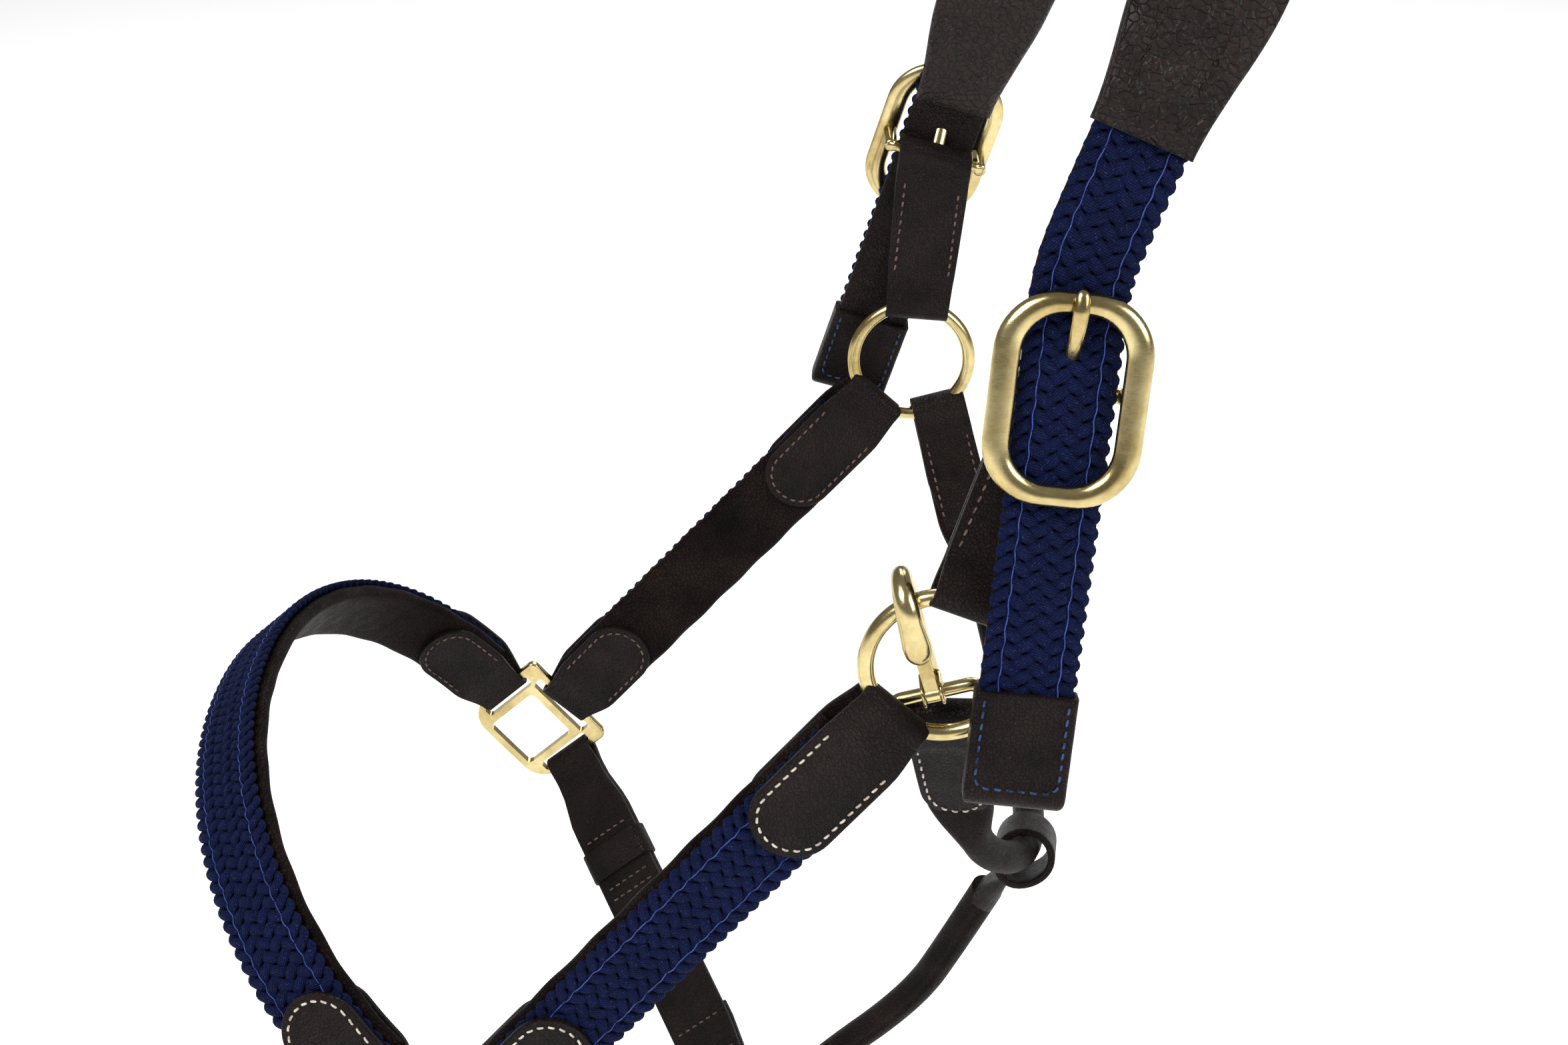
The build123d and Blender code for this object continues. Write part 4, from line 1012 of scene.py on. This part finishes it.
def band_mesh(strap, at, half_width, half_thick, thick, length):
    """A leather loop round a strap: a rounded slab section carried round a rounded rectangle across it."""
    x, n = rounded_section([half_width - thick / 2], [half_thick], [2.2], 8, 6)
    ring = without_repeats(np.stack([x[0], n[0]], axis=1))
    tangent = unit(np.roll(ring, -1, axis=0) - np.roll(ring, 1, axis=0))
    away = np.stack([tangent[:, 1], -tangent[:, 0]], axis=1)
    slab_s, slab_n = rounded_section([length / 2], [thick / 2], [0.6], 4, 3)
    big_s = at + slab_s + 0 * ring[:, :1]
    big_x = ring[:, :1] + away[:, :1] * slab_n
    big_n = ring[:, 1:] + away[:, 1:] * slab_n
    return surface(strap.lay(big_s, big_x, big_n), closed=True)


# ---- Throat and jaw straps -----------------------------------------------------------------------
def ring_point(side, degrees):
    """A point on the middle of a cheek ring's wire."""
    angle = radians(degrees)
    return RINGS[side] + np.array([cos(angle), 0, sin(angle)]) * RING_RADIUS


def snap_frame():
    """Directions of the snap hook: the ring point it hangs on, up its shank, and outwards."""
    hook = ring_point(NEAR, 118)
    upward = unit(np.array([-13.0, -7.0, 50.0]))
    outward = square_to(np.array([0.0, -1.0, 0.0]), upward)
    return hook, upward, outward


def throat_route():
    hook, upward, outward = snap_frame()
    eye_bar = hook - outward * SNAP_BOW - upward * (SNAP_SHANK + SNAP_EYE - 3)
    offsets = [(9, -86, -72), (30, -58, -98), (38, 0, -112), (32, 62, -95), (20, 103, -56)]
    return np.array([eye_bar, *(RING_LINE + np.array(offset) for offset in offsets), ring_point(FAR, -60)])


def route_strap(points, centre):
    """A smooth strap along points whose face looks away from a centre."""
    line = soft_line(points)
    along = unit(np.gradient(line, axis=0))
    outward = square_to(line - centre, along)
    return Strap(line, np.cross(along, outward), outward)


def build_throat_strap():
    """The throat strap: flat folded ends on the snap's eye and the far ring, sewn into a rolled middle.

    The rolled middle is a section that eases from a flat rounded oblong to a circle and back.
    """
    strap = route_strap(throat_route(), RING_LINE + np.array([22.0, 0, -20.0]))
    end = strap.length
    flat_near, flat_far = 34.0, 40.0
    s = np.concatenate([np.linspace(20, 66, 30), np.linspace(66, end - 72, 90)[1:-1],
                        np.linspace(end - 72, end - 24, 30)])
    rolled = ease((s - flat_near) / 24) * ease((end - flat_far - s) / 26)
    half = 9.8 + (ROLLED / 2 - 9.8) * rolled
    thick = 2.35 + (ROLLED / 2 - 2.35) * rolled

    def crease(s, x, n):
        groove = np.exp(-((x - 0.4) / 0.5) ** 2) * np.where(n < 0, 0.7, 0)
        return groove * (np.abs(n) > 2.4)

    points, faces = strip_mesh(strap, s, 0.0, half, thick, np.minimum(half, thick) - 0.02, swell=crease)
    new_piece("throat_rolled", points, faces, finish_named("rolled"), "face", "rolled_leather",
              ["throat_strap"])
    ends = (("near", lambda d: d, 2.0 + SEWN_FOLD, 40.0, 10.0, "cream"),
            ("far", lambda d: end - d, WIRE / 2 + SEWN_FOLD, 44.0, 3.0, "rose"))
    for name, s_of, radius, reach, point, thread in ends:
        fold_s, fold_n = turn_round(0.0, radius, 3.05, 9)
        leaf = leaf_line(9, reach, point, 12, 12)
        away = np.concatenate([leaf[::-1], fold_s, leaf])
        level = 1.35 + 1.7 * np.exp(-np.clip(away - 6, 0, 99) / 4)
        n = np.where(np.arange(len(away)) < len(leaf), level, -level)
        n[len(leaf):len(leaf) + len(fold_s)] = fold_n
        if name == "near":
            width = tab_half(away, reach, point, 10.0)
            routes = [tab_route(11.0, reach, point, 10.0, 2.2)]
        else:
            width = np.interp(away, [0, 26, reach - 3, reach], [9.4, 10.0, 8.0, 7.4])
            routes = [lengthwise(np.linspace(11, reach - 4, 20), x) for x in (-7.3, 7.3)]
        fold = "throat_" + name + "_fold"
        leather_piece(fold, strip_mesh(strap, s_of(away), n, width, FOLD_HALF_THICK, 0.5), "face")
        rows = [part for route in routes for part in both_faces(strap, laid(route, s_of), 2.5)]
        sewing(fold, rows, thread, "face")


def build_jaw_strap():
    """The jaw strap: rolled leather from a loop round the throat strap down to a fold round the chin ring."""
    throat = throat_route()
    ring_back = CHIN_RING - MUZZLEWARD * CHIN_RING_RADIUS
    loop = 0.75 * throat[2] + 0.25 * throat[3]
    straight = ring_back - loop
    neck = loop + 0.14 * straight
    middle = loop + 0.5 * straight + np.array([6.0, 0, -6.0])
    low = loop + 0.85 * straight
    line = soft_line([neck, loop + 0.3 * straight + np.array([3.0, 0, -3.0]), middle, low, ring_back])
    down = unit(np.gradient(line, axis=0))
    axis = unit(throat[3] - throat[2])
    strap = Strap(line, np.cross(down, square_to(axis, down)), square_to(axis, down))
    keep = strap.s < strap.length - 14

    def crease(turn):
        return 1 - 0.13 * np.exp(-((turn - pi) / 0.13) ** 2) + 0.015 * np.cos(3 * turn)

    radius = np.full(keep.sum(), ROLLED / 2)
    points, faces = tube_mesh(line[keep], radius, 28, crease)
    new_piece("jaw_rolled", points, faces, finish_named("rolled"), "face", "rolled_leather", ["jaw_strap"])
    first = unit(straight - axis * np.dot(straight, axis))
    sideways = np.cross(axis, first)
    turn = full_turn(40)
    reach = 8.2 + 1.6 * np.exp(-((turn - pi) / 0.7) ** 2)
    ring = loop - first * (np.cos(turn) * reach)[:, None] + sideways * (np.sin(turn) * reach)[:, None]
    outward = unit(ring - loop)
    slab_x, slab_n = rounded_section([8.6], [1.1], [0.5], 6, 3)
    points = ring[:, None] + axis * slab_x[0][None, :, None] + outward[:, None] * slab_n[0][None, :, None]
    leather_piece("jaw_loop", surface(points, closed=True), "face")
    along = np.linspace(0, 1, 16)
    top = loop + first * 8.5
    spine = top + (neck + down[0] * 7 - top) * along[:, None]
    half = 8.6 - 3.0 * ease(along)
    deep = 1.6 + 4.2 * ease(along)
    collar = Strap(spine, np.broadcast_to(axis, spine.shape), np.cross(axis, unit(spine[-1] - spine[0])))
    neck_mesh = strip_mesh(collar, collar.s, 0.0, half, deep, np.minimum(half, deep) - 0.05)
    leather_piece("jaw_neck", neck_mesh, "face")
    end = strap.length
    fold_s, fold_n = turn_round(end, WIRE / 2 + SEWN_FOLD, 1.3, 9, -1)
    leaf = np.linspace(end - 9, end - 26, 10)[1:]
    s = np.concatenate([leaf[::-1], fold_s, leaf])
    n = np.concatenate([1.3 + 0 * leaf, fold_n, -1.3 + 0 * leaf])
    flat = Strap(line, ACROSS_HEAD, square_to(np.cross(ACROSS_HEAD, down), down))
    half = np.interp(s, [end - 26, end - 8, end], [6.5, 8.8, 8.8])
    leather_piece("jaw_ring_fold", strip_mesh(flat, s, n, half, FOLD_HALF_THICK, 0.5), "face")


# ---- Brass ---------------------------------------------------------------------------------------
def ring_mesh(centre, normal, radius, wire):
    """A ring: a round section carried round a circle about a centre."""
    first = square_to(np.array([0.3, 0.2, 1.0]), normal)
    second = np.cross(normal, first)
    turn = full_turn(120)[:, None]
    spoke = first * np.cos(turn) + second * np.sin(turn)
    section = full_turn(28)
    out = (radius + wire / 2 * np.cos(section))[None, :, None] * spoke[:, None]
    return surface(centre + out + normal * (wire / 2 * np.sin(section))[None, :, None], closed=True)


def buckle_frame_mesh(side):
    """A cast frame: a domed section, from the window's edge to the outer one, carried round a rounded oblong.

    Its face is half an ellipse and its back a flatter one; a bar and two posts behind it hold the chape.
    """
    across, up, outward = billet_frame(side)
    half_x, half_y = BUCKLE_HALF
    outer = rounded_section([half_x], [half_y], [BUCKLE_CORNER], 8, 12)
    inner = rounded_section([half_x - BUCKLE_SIDE], [half_y - BUCKLE_END], [BUCKLE_CORNER - BUCKLE_END], 8,
                            12)
    turn = full_turn(24)
    share = 0.5 + 0.5 * np.cos(turn)
    lift = np.where(np.sin(turn) > 0, 1.0, 0.72) * np.sin(turn) * BUCKLE_THICK / 2
    x = inner[0][0][:, None] * (1 - share) + outer[0][0][:, None] * share
    y = inner[1][0][:, None] * (1 - share) + outer[1][0][:, None] * share
    keep = np.hypot(x[:, 0] - np.roll(x[:, 0], 1), y[:, 0] - np.roll(y[:, 0], 1)) > 1e-5
    x, y = x[keep], y[keep]
    points = BARS[side] + across * x[..., None] + up * y[..., None]
    points = points + outward * (FRAME_OUT + lift)[None, :, None]
    parts = [surface(points, closed=True)]
    post_at = half_x - BUCKLE_SIDE + 2.3 + LOOSE
    run = np.linspace(-1, 1, 12)[:, None]
    parts.append(tube_mesh(BARS[side] + across * run * (post_at + 1.2), BAR / 2, 20))
    for end in (-1, 1):
        foot = BARS[side] + across * (end * post_at)
        reach = np.linspace(-1.6, FRAME_OUT - 0.8, 10)[:, None]
        parts.append(tube_mesh(foot + outward * reach, np.linspace(2.0, 2.3, 10), 20))
    return join_meshes(parts)


def buckle_tongue_mesh(side):
    """A tongue: a half-round bar from a collar on the bar, out through the strap and over the end bar."""
    across, up, outward = billet_frame(side)
    end_bar = BUCKLE_HALF[1] - BUCKLE_END / 2
    over = FRAME_OUT + BUCKLE_THICK / 2 + 1.2
    route = np.array([[1.5, 1.0], [8.0, 5.5], [13.0, BILLET_OUT + BILLET_THICK / 2 + 1.0],
                      [end_bar - 5, over - 0.8], [end_bar, over + 0.6], [end_bar + 4.0, over - 1.0]])
    flat = soft_line(np.column_stack([route, np.zeros(len(route))]))[:, :2]
    line = BARS[side] + up * flat[:, :1] + outward * flat[:, 1:]
    s = np.linspace(0, 1, len(line))
    tip = np.sqrt(np.clip(1 - np.clip((s - 0.93) / 0.07, 0, 1) ** 2, 0.04, 1))
    half = np.interp(s, [0, 0.8, 1], [2.0, 2.1, 1.7]) * tip
    along = unit(np.gradient(line, axis=0))
    rise = np.cross(across, along) * -side
    turn = full_turn(20)
    lift = np.where(np.sin(turn) > 0, 1.35, 0.9) * np.sin(turn)
    points = line[:, None] + across * (half[:, None] * np.cos(turn))[..., None]
    points = points + rise[:, None] * (half[:, None] / 2.0 * lift)[..., None]
    collar = BARS[side] + across * np.linspace(-2.1, 2.1, 8)[:, None]
    return join_meshes([surface(points), tube_mesh(collar, 3.6, 24)])


def snap_place(points):
    """Points (outwards, up, sideways) in the snap's own plane, in the model's space."""
    hook, upward, outward = snap_frame()
    sideways = np.cross(outward, upward)
    return hook + points[..., :1] * outward + points[..., 1:2] * upward + points[..., 2:] * sideways


def snap_hook_mesh():
    """The cast snap hook: an oval section carried up the shank, round the bow and down the beak.

    The section broadens down the beak and rounds off at its end. Below hang two knuckle plates for the gate
    and an oblong eye for the strap.
    """
    turn = np.linspace(pi, 0, 25)[:, None]
    shank = np.stack([np.full(30, -SNAP_BOW), np.linspace(-SNAP_SHANK, 0, 30)], axis=1)[:-1]
    bow = np.hstack([np.cos(turn), np.sin(turn)]) * SNAP_BOW
    beak = np.stack([np.full(24, SNAP_BOW), np.linspace(0, -SNAP_BEAK + 1, 24)], axis=1)[1:]
    line = np.vstack([shank, bow, beak])
    s = distances(line)
    end = s[-1]
    finish = round_off((end - s) / 4.2, 0.03)
    wide = np.interp(s, [0, 30, 45, 58, end - 6, end], [2.7, 2.6, 2.7, 3.3, 3.9, 3.6]) * finish
    deep = np.interp(s, [0, 34, 48, end], [2.7, 2.9, 2.9, 2.6]) * finish
    along = unit(np.gradient(line, axis=0))
    away = np.stack([-along[:, 1], along[:, 0]], axis=1)
    section = full_turn(26)
    flat = line[:, None] + away[:, None] * (deep[:, None] * np.cos(section))[..., None]
    side = wide[:, None] * np.sin(section)
    parts = [surface(snap_place(np.concatenate([flat, side[..., None]], axis=2)))]
    x, y = rounded_section([13.0], [4.0], [3.9], 8, 6)
    loop = np.stack([np.full(x.shape[1], -SNAP_BOW), y[0] - SNAP_SHANK - SNAP_EYE / 2 + 1.0, x[0]], axis=1)
    parts.append(tube_mesh(snap_place(without_repeats(loop)), 1.95, 18, closed=True))
    for level in (-2.55, 2.55):
        x, y = rounded_section([5.2], [3.3], [2.6], 4, 5)
        rim = np.stack([x[0] - 2.4, y[0] - SNAP_SHANK + 4.0], axis=1)
        rise = np.array([-0.45, -0.3, 0.3, 0.45])
        shrink = np.array([0.93, 1.0, 1.0, 0.93])
        middle = rim.mean(axis=0)
        ring = middle + (rim - middle)[None] * shrink[:, None, None]
        heights = np.broadcast_to((level + rise)[:, None, None], ring.shape[:2] + (1,))
        parts.append(surface(snap_place(np.concatenate([ring, heights], axis=2))))
    return join_meshes(parts)


def build_brass():
    """Brass: smooth rings and domed buckle frames, and the same metal on the other cast parts."""
    names = ["snap_gate", "snap_pin"]
    brass = finish_named("brass")

    def cast(name, mesh, body, stands_for):
        new_piece(name, *mesh, brass, body, "brass", [stands_for])

    cast("snap_hook", snap_hook_mesh(), "face", "snap_body")
    for name, side in SIDES:
        names.append(name + "_halter_square")
        cast(name + "_tongue", buckle_tongue_mesh(side), name + "_tongue", name + "_buckle_tongue")
        ring = ring_mesh(RINGS[side], ACROSS_HEAD, RING_RADIUS, WIRE)
        cast(name + "_ring", ring, name + "_ring", name + "_cheek_ring")
        cast(name + "_buckle", buckle_frame_mesh(side), "crown", name + "_buckle_frame")
    chin_ring = ring_mesh(CHIN_RING, np.cross(MUZZLEWARD, ACROSS_HEAD), CHIN_RING_RADIUS, WIRE)
    cast("chin_lead_ring", chin_ring, "chin_ring_body", "chin_ring")
    for name in names:
        for slot in bpy.data.objects[name].material_slots:
            slot.material = brass


# ---- Stage ---------------------------------------------------------------------------------------
def build_stage():
    """A pale floor below the hanging headcollar, large soft lights, and the camera."""
    scene = bpy.context.scene
    low = min(CAD_BOX[0][2], 0) - 0.02
    size = 9.0
    corners = np.array([[-size, -size, low], [size, -size, low], [size, size, low], [-size, size, low]])
    mesh = bpy.data.meshes.new("floor")
    mesh.from_pydata(corners.tolist(), [], [(0, 1, 2, 3)])
    mesh.materials.append(painted_floor("white studio board", "#f4f4f5"))
    floor = bpy.data.objects.new("floor", mesh)
    scene.collection.objects.link(floor)
    middle = np.array([-0.10, 0.0, -0.20])
    lamps = (("key", (-0.9, -1.0, 1.4), 1.0, 30), ("fill", (1.4, -0.8, 0.8), 0.9, 14),
             ("back", (0.3, 1.6, 1.2), 1.0, 16))
    for name, offset, width, power in lamps:
        lamp = bpy.data.lights.new(name, "AREA")
        lamp.energy = power
        lamp.size = width
        holder = bpy.data.objects.new(name, lamp)
        place_at = middle + np.array(offset)
        holder.matrix_world = facing(place_at, middle)
        scene.collection.objects.link(holder)
    world = bpy.data.worlds.new("studio")
    world.use_nodes = True
    sky = world.node_tree.nodes["Background"].inputs
    sky["Color"].default_value = (1.0, 1.0, 1.0, 1.0)
    sky["Strength"].default_value = WORLD_STRENGTH
    scene.world = world
    scene.view_settings.view_transform = "Standard"
    camera = bpy.data.cameras.new("camera")
    camera.sensor_fit = "HORIZONTAL"
    camera.sensor_width = 36.0
    camera.lens = CAMERA_LENS
    camera.clip_start = 0.01
    holder = bpy.data.objects.new("camera", camera)
    turn, tilt = radians(CAMERA_TURN), radians(CAMERA_TILT)
    back = np.array([sin(turn) * cos(tilt), -cos(turn) * cos(tilt), sin(tilt)])
    eye = np.array(CAMERA_AT)
    holder.matrix_world = facing(eye, eye - back)
    scene.collection.objects.link(holder)
    scene.camera = holder


def facing(eye, target):
    """The placing of a camera or lamp at one point that looks at another, upright."""
    back = Vector(eye - target).normalized()
    right = Vector((0, 0, 1)).cross(back).normalized()
    turned = Matrix((right, back.cross(right), back)).transposed().to_4x4()
    return Matrix.Translation(Vector(eye)) @ turned


# ---- Add-on: settings, operators and panel -------------------------------------------------------
def colour_setting(name, description, code):
    return FloatVectorProperty(name=name, description=description, subtype="COLOR", size=4, min=0, max=1,
                               default=linear(code))


class HeadcollarSizes(bpy.types.PropertyGroup):
    cords: IntProperty(name="Cords", description="Number of cords in the flat braid", default=7, min=5,
                       max=11)
    column: FloatProperty(name="Column", description="Distance between crossings across the braid",
                          default=0.00384, unit="LENGTH", precision=5)
    row: FloatProperty(name="Row", description="Distance between crossings along the braid", default=0.0044,
                       unit="LENGTH", precision=5)


class HeadcollarColours(bpy.types.PropertyGroup):
    # The braid shade is painted shade between the yarns; the braid colour on top of the yarns carries painted
    # highlight.
    braid_dark: colour_setting("Braid shade", "Cord colour between the yarns", "#03071d")
    braid_light: colour_setting("Braid", "Cord colour on top of the yarns", "#14204f")
    braid_fleck: colour_setting("Braid fleck", "Pale fibre ends in the cord", "#4c5a96")
    braid_thread: colour_setting("Braid thread", "Thread sewn along the braid", "#43549c")
    leather_dark: colour_setting("Leather shade", "Leather colour where the dye is deep", "#0e0a09")
    leather_light: colour_setting("Leather", "Leather colour where it is worn", "#261d1a")
    pad_dark: colour_setting("Pad shade", "Poll pad colour in its creases", "#150e0c")
    pad_light: colour_setting("Pad", "Poll pad colour", "#2c201b")
    tip_thread: colour_setting("Tip thread", "Sewing on the billets' leather tips", "#3d5078")
    thread: colour_setting("Thread", "Sewing on the outer faces", "#dcd3c6")
    inner_thread: colour_setting("Inner thread", "Sewing on the inner faces", "#6f5a50")
    brass_dark: colour_setting("Brass tarnish", "Brass colour where it has dulled", "#a18a55")
    brass_light: colour_setting("Brass", "Polished brass colour", "#d9c892")


class Maker:
    def execute(self, context):
        self.build()
        return {"FINISHED"}


class MakePollPad(Maker, bpy.types.Operator):
    """Make the stuffed pad and cover over the poll"""
    bl_idname = "headcollar.poll_pad"
    bl_label = "Poll pad"
    build = staticmethod(build_poll_pad)


class MakeBillets(Maker, bpy.types.Operator):
    """Make the braided billets with their leather tips"""
    bl_idname = "headcollar.billets"
    bl_label = "Billets"
    build = staticmethod(build_billets)


class MakeChapes(Maker, bpy.types.Operator):
    """Make the folded chapes between the rings and the buckles"""
    bl_idname = "headcollar.chapes"
    bl_label = "Chapes"
    build = staticmethod(build_chapes)


class MakeCheeks(Maker, bpy.types.Operator):
    """Make the braided cheekpieces with their linings and tabs"""
    bl_idname = "headcollar.cheeks"
    bl_label = "Cheekpieces"
    build = staticmethod(build_cheeks)


class MakeNoseband(Maker, bpy.types.Operator):
    """Make the braided noseband with its lining and tabs"""
    bl_idname = "headcollar.noseband"
    bl_label = "Noseband"
    build = staticmethod(build_noseband)


class MakeChinStraps(Maker, bpy.types.Operator):
    """Make the flat chin straps and their keepers"""
    bl_idname = "headcollar.chin_straps"
    bl_label = "Chin straps"
    build = staticmethod(build_chin_straps)


class MakeThroatStrap(Maker, bpy.types.Operator):
    """Make the rolled throat strap and its folded ends"""
    bl_idname = "headcollar.throat_strap"
    bl_label = "Throat strap"
    build = staticmethod(build_throat_strap)


class MakeJawStrap(Maker, bpy.types.Operator):
    """Make the rolled jaw strap, its loop and its fold"""
    bl_idname = "headcollar.jaw_strap"
    bl_label = "Jaw strap"
    build = staticmethod(build_jaw_strap)


class MakeBrass(Maker, bpy.types.Operator):
    """Give the buckles, rings, squares and snap hook their brass"""
    bl_idname = "headcollar.brass"
    bl_label = "Brass fittings"
    build = staticmethod(build_brass)


class MakeStage(Maker, bpy.types.Operator):
    """Make the floor, the lights and the camera"""
    bl_idname = "headcollar.stage"
    bl_label = "Stage"
    build = staticmethod(build_stage)


MAKERS = (MakePollPad, MakeBillets, MakeChapes, MakeCheeks, MakeNoseband, MakeChinStraps,
          MakeThroatStrap, MakeJawStrap, MakeBrass, MakeStage)


class HeadcollarPanel(bpy.types.Panel):
    bl_idname = "VIEW3D_PT_headcollar"
    bl_label = "Leather headcollar"
    bl_space_type = "VIEW_3D"
    bl_region_type = "UI"
    bl_category = "Headcollar"

    def draw(self, context):
        for group in (context.scene.headcollar_sizes, context.scene.headcollar_colours):
            for key in group.__annotations__:
                self.layout.prop(group, key)
        for maker in MAKERS:
            self.layout.operator(maker.bl_idname)


CLASSES = (HeadcollarSizes, HeadcollarColours, *MAKERS, HeadcollarPanel)


def register():
    for made in CLASSES:
        bpy.utils.register_class(made)
    bpy.types.Scene.headcollar_sizes = PointerProperty(type=HeadcollarSizes)
    bpy.types.Scene.headcollar_colours = PointerProperty(type=HeadcollarColours)


def unregister():
    del bpy.types.Scene.headcollar_colours
    del bpy.types.Scene.headcollar_sizes
    for made in reversed(CLASSES):
        bpy.utils.unregister_class(made)


def main():
    register()
    for maker in MAKERS:
        group, name = maker.bl_idname.split(".")
        getattr(getattr(bpy.ops, group), name)()


if __name__ == "__main__":
    main()
